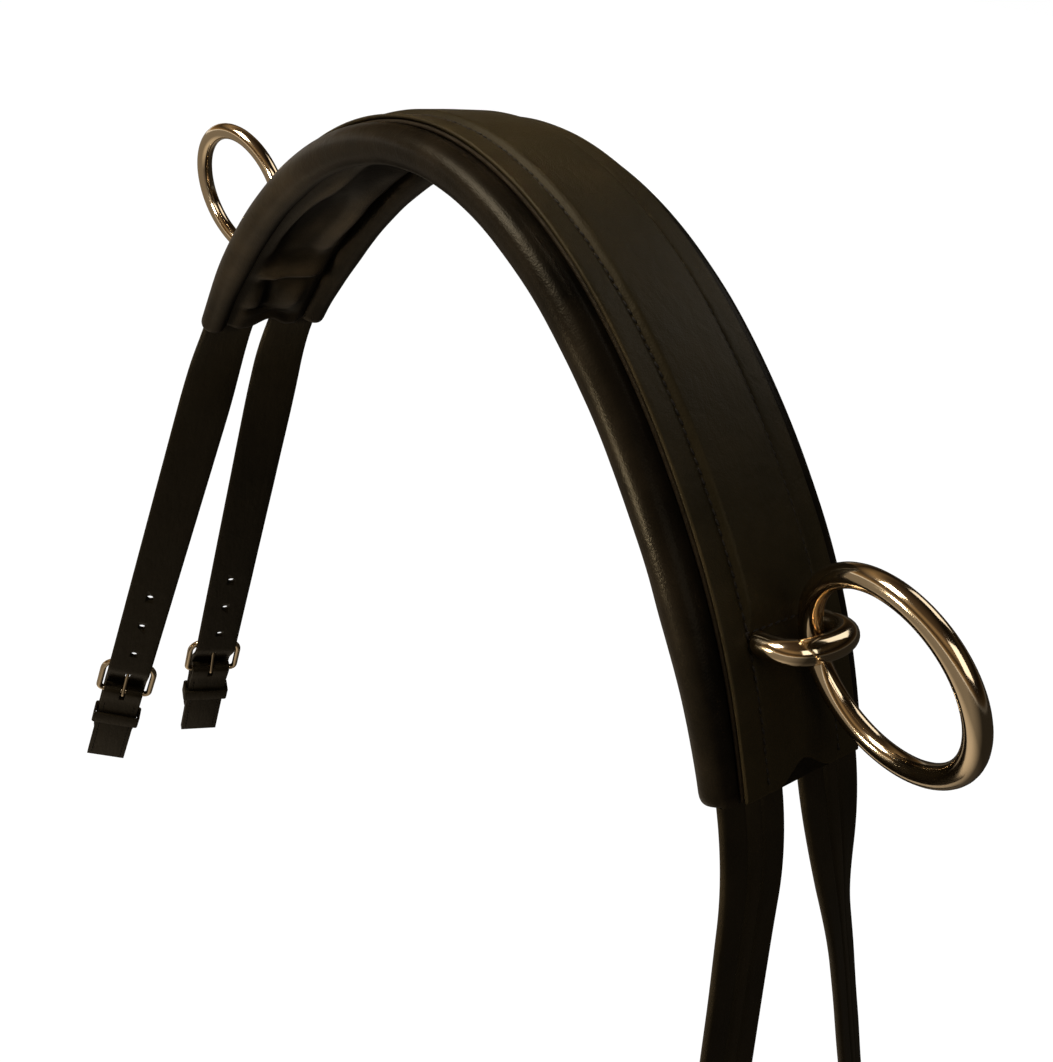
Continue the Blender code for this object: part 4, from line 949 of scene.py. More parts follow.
# %% Build the lining's inner line
INNER_FLOOR = LINING_THICKNESS - PANEL_UNDER_DEPTH + 1.2 * MM
INNER_ROLL = (60, 20, -40, -100)


def inner_section(station):
    """The inner line, the same way round; near the ends it is the mouth round the straps."""
    radius, middle, drop = roll_facts(station)
    right = [(LIP_EDGE, LIP_UNDER)]
    if abs(station) >= MOUTH_START:
        floor_out = MOUTH_FLOOR
        right += [(MOUTH_WALL, LIP_UNDER), (MOUTH_WALL, (LIP_UNDER + MOUTH_FLOOR) / 2)]
        right += [(side_y, MOUTH_FLOOR) for side_y in (MOUTH_WALL, (LIP_EDGE + MOUTH_WALL) / 2, LIP_EDGE)]
    else:
        floor_out = INNER_FLOOR
        inner = radius - LINING_THICKNESS
        for angle in map(math.radians, INNER_ROLL):
            right.append((middle + inner * math.cos(angle), inner * math.sin(angle) - drop))
        right.append((middle - CREASE_BESIDE_ROLL, LINING_THICKNESS + CREASE_OUT))
    return right + [(0.0, floor_out)] + [(-side_y, out) for side_y, out in reversed(right)]


# %% Round and close the lining's ends
END_DRAW = 1.4 * MM
HUB_SHARE = 0.8
LIP_LEVEL = -SEAT_GAP - 0.01 * MM


def drawn_in(side_y, out, draw, middle, drop):
    """Pull an outer point towards the padding, to round the lining's end."""
    if out >= LIP_LEVEL:
        return side_y, out
    hub = max(min(side_y, middle), -middle)
    away = Vector((side_y - hub, out + drop * HUB_SHARE))
    if away.length > draw:
        away *= 1 - draw / away.length
    return hub + away.x, away.y - drop * HUB_SHARE


def close_end(mesh_data, outer, inner):
    """Triangles between the outer and the inner line at one end, always over the shorter step."""
    i = 0
    j = 0
    while i < len(outer) - 1 or j < len(inner) - 1:
        step_outer = step_inner = 1.0
        if i < len(outer) - 1:
            step_outer = (outer[i + 1].co - inner[j].co).length
        if j < len(inner) - 1:
            step_inner = (outer[i].co - inner[j + 1].co).length
        if step_outer < step_inner:
            mesh_data.faces.new([outer[i], outer[i + 1], inner[j]])
            i += 1
        else:
            mesh_data.faces.new([outer[i], inner[j + 1], inner[j]])
            j += 1


# %% Make the lining
LINING_ROW_STEP = 1.8 * MM
LINING_ROWS_START = 5.0 * MM
LINING_END_ROUND = 3.2 * MM
LINING_END_ROWS = (0.0, 0.25 * MM, 0.8 * MM, 1.8 * MM, LINING_END_ROUND)
END_WEAR = 0.7


def add_lining():
    """The padded lining as one closed skin."""
    mesh_data = bmesh.new()
    uv_layer = mesh_data.loops.layers.uv.new(UV_METRES)
    wear_layer = mesh_data.verts.layers.float.new(WEAR_AND_SHADE)
    known = {}
    outers = []
    inners = []
    for station in rows_on_pad(LINING_ROW_STEP, LINING_ROWS_START, LINING_END_ROWS):
        left = min((LEG_LENGTH - abs(station)) / LINING_END_ROUND, 1.0)
        draw = END_DRAW * (1 - math.sqrt(max(left * (2 - left), 0.0)))
        middle, drop = roll_facts(station)[1:]
        section = outer_section(station)
        before = section[0]
        run = 0.0
        outers.append([])
        for point in section:
            run += math.hypot(point[0] - before[0], point[1] - before[1])
            before = point
            side_y, out = drawn_in(point[0], point[1], draw, middle, drop)
            vert = mesh_data.verts.new(on_pad(station, side_y, out))
            known[vert] = (station, run)
            vert[wear_layer] = max(point[2], END_WEAR * (1 - left))
            outers[-1].append(vert)
        inners.append([])
        for side_y, out in inner_section(station):
            vert = mesh_data.verts.new(on_pad(station, side_y, out))
            known[vert] = (station, side_y)
            inners[-1].append(vert)
    for rings in (outers, inners):
        for first, second in zip(rings, rings[1:]):
            for k in range(len(first) - 1):
                mesh_data.faces.new([first[k], first[k + 1], second[k + 1], second[k]])
    for k in (0, -1):
        for i in range(len(outers) - 1):
            mesh_data.faces.new([outers[i][k], outers[i + 1][k], inners[i + 1][k], inners[i][k]])
    for end in (0, -1):
        close_end(mesh_data, outers[end], inners[end])
    lay_metres(mesh_data, uv_layer, known.get)
    return make_object("soft_lining", mesh_data, lining_leather, CUT_SHARP_ANGLE)


lining = add_lining()
dress(lining, "pad", "leather_lining", "pad_lining")

# %% [markdown]
# ## Round metal bars
# The rings, the staples, the buckle frames and their tongues are all round bars that follow a path. A
# torus or a cylinder could stand in for one, but a bar made of loops can swell and taper, as a forged
# staple does. Enough sides, with smooth shading, make it look truly round.

# %% Define the bar maker
def bar(name, points, radii, plane_normal, material, sides, closed=False):
    """A round bar along a flat path, with flat tips unless it is closed."""
    loops = []
    last = len(points) - 1
    for i, point in enumerate(points):
        if closed:
            before = points[i - 1]
            after = points[(i + 1) % len(points)]
        else:
            before = points[max(i - 1, 0)]
            after = points[min(i + 1, last)]
        along = (after - before).normalized()
        beside = along.cross(plane_normal).normalized()
        loop = []
        for k in range(sides):
            angle = 2 * math.pi * k / sides
            loop.append(point + radii[i] * (math.cos(angle) * beside + math.sin(angle) * plane_normal))
        loops.append(loop)
    return skin(name, loops, material, None, closed, ROUNDED_SHARP_ANGLE)


# %% [markdown]
# ## The rein rings and their staples
# Each ring is a hoop of round wire that the rein slides through. The staple is a forged bar, thick in
# the middle, that narrows to a pin below each foot and arches over the ring's wire. The right ring has
# slid a little to the rear in its staple and turned, as it lies in the photo.

# %% Find where a staple stands
RING_BORE_RADIUS = 27.0 * MM
RING_WIRE_RADIUS = 3.75 * MM
RING_CENTRE_RADIUS = RING_BORE_RADIUS + RING_WIRE_RADIUS
RING_OUT = COVER_TOP + 3.0 * MM + RING_WIRE_RADIUS
STAPLE_REACH_DOWN = 4.5 * MM
ACROSS = Vector((0.0, 1.0, 0.0))


def staple_frame(side):
    """Where a staple stands, and the directions out and down the leg there."""
    down = down_leg(STAPLE_STATION, side)
    out = Vector((-side * down.z, 0.0, side * down.x))
    return on_arch(side * STAPLE_STATION, 0.0, 0.0), out, down


# %% Define how a ring is made
RING_STEPS = 120
RING_SIDES = 28
RING_POSES = {-1: (0.0, 17.0, -14.0, 0.0), 1: (3.0 * MM, 11.0, 14.0, 12.0)}


def make_ring(side, word):
    """The rein ring as it rests: shifted across in its staple, then leaned, drooped and turned."""
    base_point, out, down = staple_frame(side)
    aside = RING_POSES[side][0]
    lean, droop, turned = map(math.radians, RING_POSES[side][1:])
    pivot = base_point + out * RING_OUT + down * STAPLE_REACH_DOWN + ACROSS * aside
    reach = math.cos(droop) * out + math.sin(droop) * down
    reach = math.cos(lean) * reach - math.sin(lean) * ACROSS
    along = (down - reach * down.dot(reach)).normalized()
    along = math.cos(turned) * along + math.sin(turned) * reach.cross(along)
    centre = pivot + reach * RING_CENTRE_RADIUS
    points = []
    for index in range(RING_STEPS):
        angle = 2 * math.pi * index / RING_STEPS
        points.append(centre + RING_CENTRE_RADIUS * (math.sin(angle) * along - math.cos(angle) * reach))
    radii = [RING_WIRE_RADIUS] * RING_STEPS
    ring = bar(word + "_ring", points, radii, reach.cross(along), warm_tinted_nickel, RING_SIDES, True)
    dress(ring, word + "_ring", "polished_nickel", word + "_rein_ring")


# %% Make the rings and the staples
STAPLE_HALF_SPAN = 13.8 * MM
STAPLE_APEX_RADIUS = 4.3 * MM
STAPLE_FOOT_RADIUS = 4.2 * MM
STAPLE_PIN_RADIUS = 1.9 * MM
STAPLE_APEX_OUT = RING_OUT + RING_WIRE_RADIUS + 1.0 * MM + STAPLE_APEX_RADIUS
STAPLE_SHOULDER_POWER = 0.62
STAPLE_FOOT_ROUND = ((0.1, 0.8), (0.5, 0.92), (1.4, 1.0))
STAPLE_FOOT_SHARE = 0.9
STAPLE_STEPS = 44
BURR_UNDER = -3.3 * MM
STAPLE_SIDES = 24


def make_staple(side, word):
    """The staple: pins below, blunt feet and a thick arch."""
    base_point, out, down = staple_frame(side)
    foot = COVER_TOP + SEAT_GAP
    rise = STAPLE_APEX_OUT - foot
    low = STAPLE_FOOT_SHARE * STAPLE_FOOT_RADIUS
    leg = [(BURR_UNDER, STAPLE_PIN_RADIUS), (foot, STAPLE_PIN_RADIUS)]
    leg += [(foot + lift * MM, STAPLE_FOOT_RADIUS * share) for lift, share in STAPLE_FOOT_ROUND]
    points = [(-STAPLE_HALF_SPAN, lift, radius) for lift, radius in leg]
    for index in range(STAPLE_STEPS + 1):
        angle = math.pi * index / STAPLE_STEPS
        swell = max(math.sin(angle), 0.0)
        radius = STAPLE_FOOT_RADIUS + (STAPLE_APEX_RADIUS - STAPLE_FOOT_RADIUS) * swell
        lift = foot + low + (rise - low) * swell ** STAPLE_SHOULDER_POWER
        points.append((-STAPLE_HALF_SPAN * math.cos(angle), lift, radius))
    points += [(STAPLE_HALF_SPAN, lift, radius) for lift, radius in reversed(leg)]
    path = []
    for side_y, lift, radius in points:
        reach = STAPLE_REACH_DOWN * max(lift - foot, 0.0) / rise
        path.append(base_point + ACROSS * side_y + out * lift + down * reach)
    staple = bar(word + "_staple", path, [point[2] for point in points], down, warm_tinted_nickel, STAPLE_SIDES)
    dress(staple, "pad", "polished_nickel", word + "_ring_staple")


for side, word in ((-1, "left"), (1, "right")):
    make_ring(side, word)
    make_staple(side, word)


# %% [markdown]
# ## The hanging straps
# Each strap is sewn into the pad's mouth, bends down as it leaves the pad, twists a little because it
# hangs loose, and ends in a point below its buckle. Its outer face has two pressed lines with a low
# ridge between them. A flat plane with a Curve modifier could follow such a path, but loops in code let
# the strap twist, narrow to its point and pass over the buckle's bar in one go.

# %% Sizes of the straps and their buckles
SWING_PAST_END = 2.5 * MM
BEND_LENGTH = 40.0 * MM
BEND_STEPS = 40
TWIST_LENGTH = 75.0 * MM
HANG_ANGLE = math.radians(14.0)
BUCKLE_DISTANCE = 305.0 * MM
TAIL_LENGTH = 74.0 * MM
STRAP_END = BUCKLE_DISTANCE + TAIL_LENGTH
POINT_LENGTH = 19.0 * MM
BUCKLE_WIRE_RADIUS = 2.0 * MM
BUCKLE_HALF_LENGTH = 14.5 * MM
BUCKLE_TOP = BUCKLE_DISTANCE - BUCKLE_HALF_LENGTH
TONGUE_RADIUS = 1.2 * MM
TONGUE_COIL_RADIUS = BUCKLE_WIRE_RADIUS + SEAT_GAP + TONGUE_RADIUS
CHAPE_THICKNESS = 2.2 * MM
CHAPE_LEG_OUT = (SEAT_GAP + CHAPE_THICKNESS) / 2
CHAPE_FACE = CHAPE_LEG_OUT + CHAPE_THICKNESS / 2
CHAPE_FOLD_RADIUS = BUCKLE_WIRE_RADIUS + SEAT_GAP + CHAPE_THICKNESS / 2
CHAPE_JOINED_BELOW_BAR = 13.0 * MM
SWING_OUT = ROOT_TOP - STRAP_THICKNESS / 2
BEHIND_BAR = -(BUCKLE_WIRE_RADIUS + SEAT_GAP + STRAP_THICKNESS / 2)
HEEL_REACH = max(TONGUE_COIL_RADIUS + TONGUE_RADIUS, CHAPE_FOLD_RADIUS + CHAPE_THICKNESS / 2)
OVER_HEEL = HEEL_REACH + SEAT_GAP + STRAP_THICKNESS / 2
TAIL_OUT = CHAPE_FACE + SEAT_GAP + STRAP_THICKNESS / 2
TONGUE_TIP_OUT = BUCKLE_WIRE_RADIUS + SEAT_GAP + TONGUE_RADIUS

# %% Pass through the buckle
def billet_out(down):
    """How far out the strap's middle lies, by its distance below the buckle's middle."""
    top = -BUCKLE_HALF_LENGTH + BUCKLE_WIRE_RADIUS
    heel = BUCKLE_HALF_LENGTH - BUCKLE_WIRE_RADIUS / 2
    out = BEHIND_BAR + (OVER_HEEL - BEHIND_BAR) * smooth((down - top) / (heel - top))
    settle = BUCKLE_HALF_LENGTH + BUCKLE_WIRE_RADIUS
    return out - (OVER_HEEL - TAIL_OUT) * smooth((down - settle) / CHAPE_JOINED_BELOW_BAR)


def tongue_out(down):
    """How far out the tongue's middle lies."""
    share = (BUCKLE_HALF_LENGTH - down) / (2 * BUCKLE_HALF_LENGTH)
    return -TONGUE_COIL_RADIUS + (TONGUE_TIP_OUT + TONGUE_COIL_RADIUS) * share


# %% Lay out the path of a strap
PROBE = 0.05 * MM
STRAPS = {
    "left_front": (-1, -1, -8.0, 28.0), "left_rear": (-1, 1, -2.5, 16.0),
    "right_front": (1, -1, -4.7, 4.0), "right_rear": (1, 1, 13.4, 28.0),
}


class StrapPath:
    """Where one strap runs, and the frame of its buckle; lean and turn_in are in degrees."""

    def __init__(self, side, edge, lean, turn_in):
        self.side = side
        self.side_y = edge * STRAP_FROM_MIDDLE
        self.turn_in = math.radians(turn_in)
        lean = math.radians(lean)
        flat = math.cos(lean)
        hanging = (side * math.sin(HANG_ANGLE) * flat, math.sin(lean), -math.cos(HANG_ANGLE) * flat)
        self.down = Vector(hanging)
        self.width, self.out = self.face_frame(self.down, self.turn_in)
        self.bend = [self.centre(0.0)]
        first = down_leg(LEG_LENGTH, side)
        for index in range(BEND_STEPS):
            direction = first.slerp(self.down, (index + 0.5) / BEND_STEPS)
            self.bend.append(self.bend[-1] + direction * BEND_LENGTH / BEND_STEPS)
        self.buckle = self.centre(BUCKLE_DISTANCE) - self.out * BEHIND_BAR

    def face_frame(self, along, turned):
        """Directions across the strap and out of its face."""
        width = (ACROSS - along * ACROSS.dot(along)).normalized()
        out = self.side * along.cross(width)
        width = math.cos(turned) * width - math.sin(turned) * out
        return width, self.side * along.cross(width)

    def centre(self, distance):
        """The strap's middle, inside the pad for a distance below 0."""
        if distance <= 0:
            return on_arch(self.side * (LEG_LENGTH + SWING_PAST_END + distance), self.side_y, SWING_OUT)
        place = min(distance / BEND_LENGTH, 1.0) * BEND_STEPS
        index = min(int(place), BEND_STEPS - 1)
        point = self.bend[index].lerp(self.bend[index + 1], place - index)
        return point + self.down * max(distance - BEND_LENGTH, 0.0)

    def local(self, across, out, down):
        """A point in the buckle's own frame."""
        return self.buckle + self.width * across + self.out * out + self.down * down

    def middle(self, distance):
        """The strap's middle all the way down, through the buckle."""
        if distance <= BUCKLE_TOP:
            return self.centre(distance)
        down = distance - BUCKLE_DISTANCE
        return self.local(0.0, billet_out(down), down)

    def frame_at(self, distance):
        """Directions across the strap and out of its face at a distance."""
        along = (self.middle(distance + PROBE) - self.middle(distance - PROBE)).normalized()
        if distance > TWIST_LENGTH:
            return self.width, self.side * along.cross(self.width)
        return self.face_frame(along, self.turn_in * smooth(distance / TWIST_LENGTH))


paths = {word: StrapPath(*facts) for word, facts in STRAPS.items()}
print("strap buckles at", {word: tuple(round(c, 3) for c in path.buckle) for word, path in paths.items()})

# %% [markdown]
# ### The strap's skin
# The edges are rounded and rubbed, and the pressed lines fade out before the punched holes. The cover's
# trick is used again: each point carries its metres along and across, so the leather's fine creases run
# across the strap.

# %% Space the rows of a strap
ROOT_START = -34.0 * MM
NEAR_BUCKLE = BUCKLE_TOP - 6.0 * MM
FINE_ROWS = 1.5 * MM
BEND_ROWS = 2.0 * MM
PLAIN_ROWS = 6.0 * MM
POINT_ROWS = (0.85, 0.7, 0.55, 0.42, 0.3, 0.2, 0.12, 0.05, 0.015, 0.0)


def strap_rows():
    """Distances down a strap, close together where it bends and at its point."""
    rows = stations_every(BEND_ROWS, ROOT_START, TWIST_LENGTH)
    rows += stations_every(PLAIN_ROWS, TWIST_LENGTH, NEAR_BUCKLE)[1:]
    rows += stations_every(FINE_ROWS, NEAR_BUCKLE, STRAP_END - POINT_LENGTH)[1:]
    return rows + [STRAP_END - POINT_LENGTH * share for share in POINT_ROWS]


# %% Build one loop round a strap
POINT_HALF_WIDTH = 4.5 * MM
POINT_ROUND = 1.2 * MM
POINT_PINCH = 0.45
FACE_COLUMNS = (0.0, 1.1, 2.0, 2.6, 3.0, 3.4, 3.8, 4.3, 5.4, 7.2, 9.2, 11.0, 12.4)
BACK_COLUMNS = (12.4, 8.0, 3.0, -3.0, -8.0, -12.4)
BACK_WEAR = 0.15
FACE_WEAR = 0.1
RUBBED_WEAR = 0.2
RIDGE_WEAR = 0.4
STRAP_NEAR_EDGE = 11.0 * MM
EDGE_ROUND = 1.15 * MM
EDGE_SETBACK = 0.1 * MM
RIGHT_STRAP_EDGE = (65, 35, 0, -35, -65)
LEFT_STRAP_EDGE = (-115, -145, 180, 145, 115)
LINE_DEPTH = 0.5 * MM
LINE_HALF_WIDTH = 0.85 * MM
LINE_FROM_MIDDLE = 3.4 * MM
LINE_END = 215.0 * MM
LINE_FADE = 25.0 * MM
LINE_START = 10.0 * MM
RIDGE_RISE = 0.4 * MM
RIDGE_FULLNESS = 1.5
FACE_DOME = 0.09 * MM


def half_width_at(distance):
    """Half the strap's width, drawn in to its rounded point."""
    left = STRAP_END - distance
    if left >= POINT_LENGTH:
        return STRAP_WIDTH / 2
    share = 1 - max(left, 0.0) / POINT_LENGTH
    return POINT_HALF_WIDTH + (STRAP_WIDTH / 2 - POINT_HALF_WIDTH) * math.sqrt(1 - share * share)


def strap_section(distance):
    """One loop round the strap as (across, out, wear)."""
    inset = half_width_at(distance) - EDGE_ROUND
    scale = inset / (STRAP_WIDTH / 2 - EDGE_ROUND)
    left = min(max(STRAP_END - distance, 0.0) / POINT_ROUND, 1.0)
    half = STRAP_THICKNESS / 2 * (1 - POINT_PINCH + POINT_PINCH * math.sqrt(left * (2 - left)))
    face = half - EDGE_SETBACK
    pressed = smooth((LINE_END - distance) / LINE_FADE) * smooth((distance + LINE_START) / LINE_START)
    points = []
    for side_y in both_sides(FACE_COLUMNS):
        dome = FACE_DOME * (1 - (abs(side_y) / (STRAP_WIDTH / 2) - 0.5) ** 2 * 4)
        line = LINE_DEPTH * smooth(1 - abs(abs(side_y) - LINE_FROM_MIDDLE) / LINE_HALF_WIDTH)
        ridge = smooth(RIDGE_FULLNESS * (1 - abs(side_y) / LINE_FROM_MIDDLE))
        lift = face + dome + pressed * (RIDGE_RISE * ridge - line)
        wear = FACE_WEAR + RUBBED_WEAR * (abs(side_y) > STRAP_NEAR_EDGE) + RIDGE_WEAR * pressed * ridge
        points.append((side_y * scale, lift, wear))
    points += round_edge(inset, EDGE_ROUND, 0.0, face, RIGHT_STRAP_EDGE)
    points += [(side_y * MM * scale, -half, BACK_WEAR) for side_y in BACK_COLUMNS]
    return points + round_edge(-inset, EDGE_ROUND, 0.0, face, LEFT_STRAP_EDGE)


# %% Define the strap's skin
SWAY = 0.25 * MM
SWAY_GRAIN = (30, 3.0, 200)
STEADY_LENGTH = 40.0 * MM


def make_strap_skin(word):
    """The strap before its holes are punched."""
    path = paths[word]
    loops = []
    facts = []
    for distance in strap_rows():
        middle = path.middle(distance)
        width, out = path.frame_at(distance)
        spot = (distance, path.side, path.side_y)
        sway = SWAY * noise.noise(Vector([value * fine for value, fine in zip(spot, SWAY_GRAIN)]))
        if distance < 0 or distance > BUCKLE_DISTANCE - STEADY_LENGTH:
            sway = 0.0
        section = strap_section(distance)
        loops.append([middle + width * side_y + out * (lift + sway) for side_y, lift, wear in section])
        facts.append([(distance, side_y, wear) for side_y, lift, wear in section])
    return skin(word + "_strap_leather", loops, strap_leather, facts, angle=ROUNDED_SHARP_ANGLE)


# %% [markdown]
# ### Punched holes
# A saddler punches the holes after the strap is cut, and so does this script: a Boolean modifier takes
# small round bars out of the strap. The hole that the tongue uses is drawn long.

# %% Make the punches
HOLE_RADIUS = 2.3 * MM
HOLE_SPACING = 28.0 * MM
HOLE_SIDES = 20
SPARE_HOLES = (-1, -2, -3, 1)
PUNCH_REACH = 6.0 * MM
TONGUE_GAP = 0.5 * MM
TONGUE_LIFT = math.radians(5.0)
LONG_HOLE_SHARE = 0.8
CROSSING_STEPS = 200


def tongue_crossing():
    """Where the tongue passes through the strap."""
    places = [BUCKLE_HALF_LENGTH * (2 * index / CROSSING_STEPS - 1) for index in range(CROSSING_STEPS)]
    return min(places, key=lambda down: abs(billet_out(down) - tongue_out(down)))


def make_punches(word):
    """All the punches for one strap in one mesh."""
    path = paths[word]
    crossing = tongue_crossing()
    reach = (STRAP_THICKNESS + 2 * TONGUE_RADIUS + 2 * SEAT_GAP) * LONG_HOLE_SHARE
    lift = BUCKLE_HALF_LENGTH * math.sin(TONGUE_LIFT)
    holes = [(crossing + lift / 2, TONGUE_RADIUS + TONGUE_GAP, reach + lift)]
    holes += [(crossing + HOLE_SPACING * count, HOLE_RADIUS, 0.0) for count in SPARE_HOLES]
    mesh_data = bmesh.new()
    for down, radius, stretch in holes:
        rings = []
        for out in (billet_out(down) - PUNCH_REACH, billet_out(down) + PUNCH_REACH):
            rings.append([])
            for k in range(HOLE_SIDES):
                angle = 2 * math.pi * (k + 0.5) / HOLE_SIDES
                place = down + radius * math.sin(angle) + math.copysign(stretch, math.sin(angle))
                rings[-1].append(mesh_data.verts.new(path.local(radius * math.cos(angle), out, place)))
        bridge(mesh_data, rings)
    return make_object(word + "_punches", mesh_data, strap_leather)


# %% Punch the holes and fit the straps
def bake(piece, name):
    """Apply a piece's modifiers by making a plain mesh from what they show."""
    bpy.context.view_layer.update()
    seen = piece.evaluated_get(bpy.context.evaluated_depsgraph_get())
    mesh = bpy.data.meshes.new_from_object(seen)
    mesh.name = name
    plain = add_object(name, mesh)
    bpy.data.objects.remove(piece, do_unlink=True)
    return plain


for word, path in paths.items():
    whole = make_strap_skin(word)
    punches = make_punches(word)
    punch = whole.modifiers.new("punch", "BOOLEAN")
    punch.operation = "DIFFERENCE"
    punch.solver = "EXACT"
    punch.object = punches
    strap = bake(whole, word + "_strap")
    bpy.data.objects.remove(punches, do_unlink=True)
    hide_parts(word + "_billet", word + "_strap_root")
    path.centre(-1.0 * MM)
    path.centre(26.0 * MM)
    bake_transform(strap)
    print(strap.name, "faces", len(strap.data.polygons))


# %% [markdown]
# ## The buckles
# A harness buckle is a frame of round wire with a tongue that coils round its lower bar. A folded piece
# of leather, the chape, holds that bar, and a leather loop keeps the strap's point flat.

# %% Define how a frame is made
FRAME_HALF_WIDTH = STRAP_WIDTH / 2 + 0.9 * MM + BUCKLE_WIRE_RADIUS
TOP_CORNER = 9.0 * MM
HEEL_CORNER = 3.5 * MM
CORNER_STEPS = 8
FRAME_CORNERS = ((1, 1, HEEL_CORNER), (-1, 1, HEEL_CORNER), (-1, -1, TOP_CORNER), (1, -1, TOP_CORNER))
FRAME_SIDES = 18


def make_frame(word):
    """The wire frame: wide round top, straight lower bar."""
    path = paths[word]
    points = []
    for quarter, (hand, end, radius) in enumerate(FRAME_CORNERS):
        for index in range(CORNER_STEPS + 1):
            angle = math.radians(90 * (quarter + index / CORNER_STEPS))
            across = hand * (FRAME_HALF_WIDTH - radius) + radius * math.cos(angle)
            down = end * (BUCKLE_HALF_LENGTH - radius) + radius * math.sin(angle)
            points.append(path.local(across, 0.0, down))
    radii = [BUCKLE_WIRE_RADIUS] * len(points)
    piece = bar(word + "_frame", points, radii, path.out, warm_tinted_nickel, FRAME_SIDES, True)
    dress(piece, word + "_strap", "polished_nickel", word + "_buckle_frame")


# %% Make the frames and the tongues
TONGUE_COIL = range(-60, 181, 12)
TONGUE_PAST_BAR = 2.6 * MM
TONGUE_TAPER = 0.8 * MM
TONGUE_LINE = (0.5, 0.0, -0.5, -1.0)
TIP_SHARES = (0.85, 0.5)
TONGUE_SIDES = 14


def make_tongue(word):
    """The tongue: coiled round the lower bar, through the strap, onto the top bar."""
    path = paths[word]
    line = []
    for angle in map(math.radians, TONGUE_COIL):
        down = BUCKLE_HALF_LENGTH + TONGUE_COIL_RADIUS * math.sin(angle)
        line.append((TONGUE_COIL_RADIUS * math.cos(angle), down))
    for share in TONGUE_LINE:
        line.append((tongue_out(share * BUCKLE_HALF_LENGTH), share * BUCKLE_HALF_LENGTH))
    tip = -BUCKLE_HALF_LENGTH - BUCKLE_WIRE_RADIUS - TONGUE_PAST_BAR
    line += [(TONGUE_TIP_OUT, tip + TONGUE_TAPER), (TONGUE_TIP_OUT, tip)]
    points = [path.local(0.0, out, down) for out, down in line]
    radii = [TONGUE_RADIUS] * (len(points) - 2) + [share * TONGUE_RADIUS for share in TIP_SHARES]
    piece = bar(word + "_tongue", points, radii, path.width, warm_tinted_nickel, TONGUE_SIDES)
    dress(piece, word + "_tongue", "polished_nickel", word + "_buckle_tongue")


for word in paths:
    make_frame(word)
    make_tongue(word)


# %% [markdown]
# ### The chapes and the keepers
# Both are short pieces of strap leather with cut edges. A chape is built as a sheet with thickness and a
# keeper as a closed band, and a bevel then rounds every sharp edge. The rounded edges get the rubbed
# colour.

# %% Define the sheet maker
def sheet_with_thickness(rows, columns, place, is_open):
    """A sheet with two faces and closed edges, with cells left out where is_open says so."""
    mesh_data = bmesh.new()
    verts = {}
    cells = set()
    for i in range(len(rows)):
        for j in range(len(columns)):
            for face in (0, 1):
                verts[i, j, face] = mesh_data.verts.new(place(rows[i], columns[j], face))
            if i < len(rows) - 1 and j < len(columns) - 1 and not is_open(i, j):
                cells.add((i, j))
    for i, j in cells:
        corners = ((i, j), (i + 1, j), (i + 1, j + 1), (i, j + 1))
        mesh_data.faces.new([verts[a, b, 1] for a, b in corners])
        mesh_data.faces.new([verts[a, b, 0] for a, b in reversed(corners)])
        for k, beside in enumerate(((i, j - 1), (i + 1, j), (i, j + 1), (i - 1, j))):
            if beside not in cells:
                a = corners[k]
                b = corners[(k + 1) % 4]
                mesh_data.faces.new([verts[(*a, 0)], verts[(*b, 0)], verts[(*b, 1)], verts[(*a, 1)]])
    loose = [vert for vert in mesh_data.verts if not vert.link_faces]
    bmesh.ops.delete(mesh_data, geom=loose, context="VERTS")
    return mesh_data


# %% Round and wear the cut edges
SHARP_EDGE = 1.0
BENT_EDGE = 0.25
CUT_WEAR = 0.9
FLAT_WEAR = 0.15


def cut_leather(name, mesh_data, path, edge):
    """Round the sharp edges, mark them as rubbed and lay the metres on."""
    bmesh.ops.recalc_face_normals(mesh_data, faces=mesh_data.faces)
    whole = [line for line in mesh_data.edges if line.is_manifold]
    sharp = [line for line in whole if line.calc_face_angle(0.0) > SHARP_EDGE]
    bmesh.ops.bevel(mesh_data, geom=sharp, offset=edge, segments=3, profile=0.5, affect="EDGES")
    mesh_data.normal_update()
    uv_layer = mesh_data.loops.layers.uv.new(UV_METRES)
    wear_layer = mesh_data.verts.layers.float.new(WEAR_AND_SHADE)
    for vert in mesh_data.verts:
        bends = [line.calc_face_angle(0.0) for line in vert.link_edges if line.is_manifold]
        vert[wear_layer] = CUT_WEAR if max(bends, default=0.0) > BENT_EDGE else FLAT_WEAR

    def metres_at(vert):
        away = vert.co - path.buckle
        return away.dot(path.down), away.dot(path.width)

    lay_metres(mesh_data, uv_layer, metres_at)
    return make_object(name, mesh_data, strap_leather, CUT_SHARP_ANGLE)


# %% Draw a chape's line
CHAPE_LENGTH = 72.0 * MM
CHAPE_FOOT_SET = 0.9 * MM
CHAPE_FOLD = range(0, -181, -15)
KEEPER_BELOW_BAR = 24.0 * MM
KEEPER_WIDTH = 10.0 * MM
SEAT_BELOW_KEEPER = 3.0 * MM


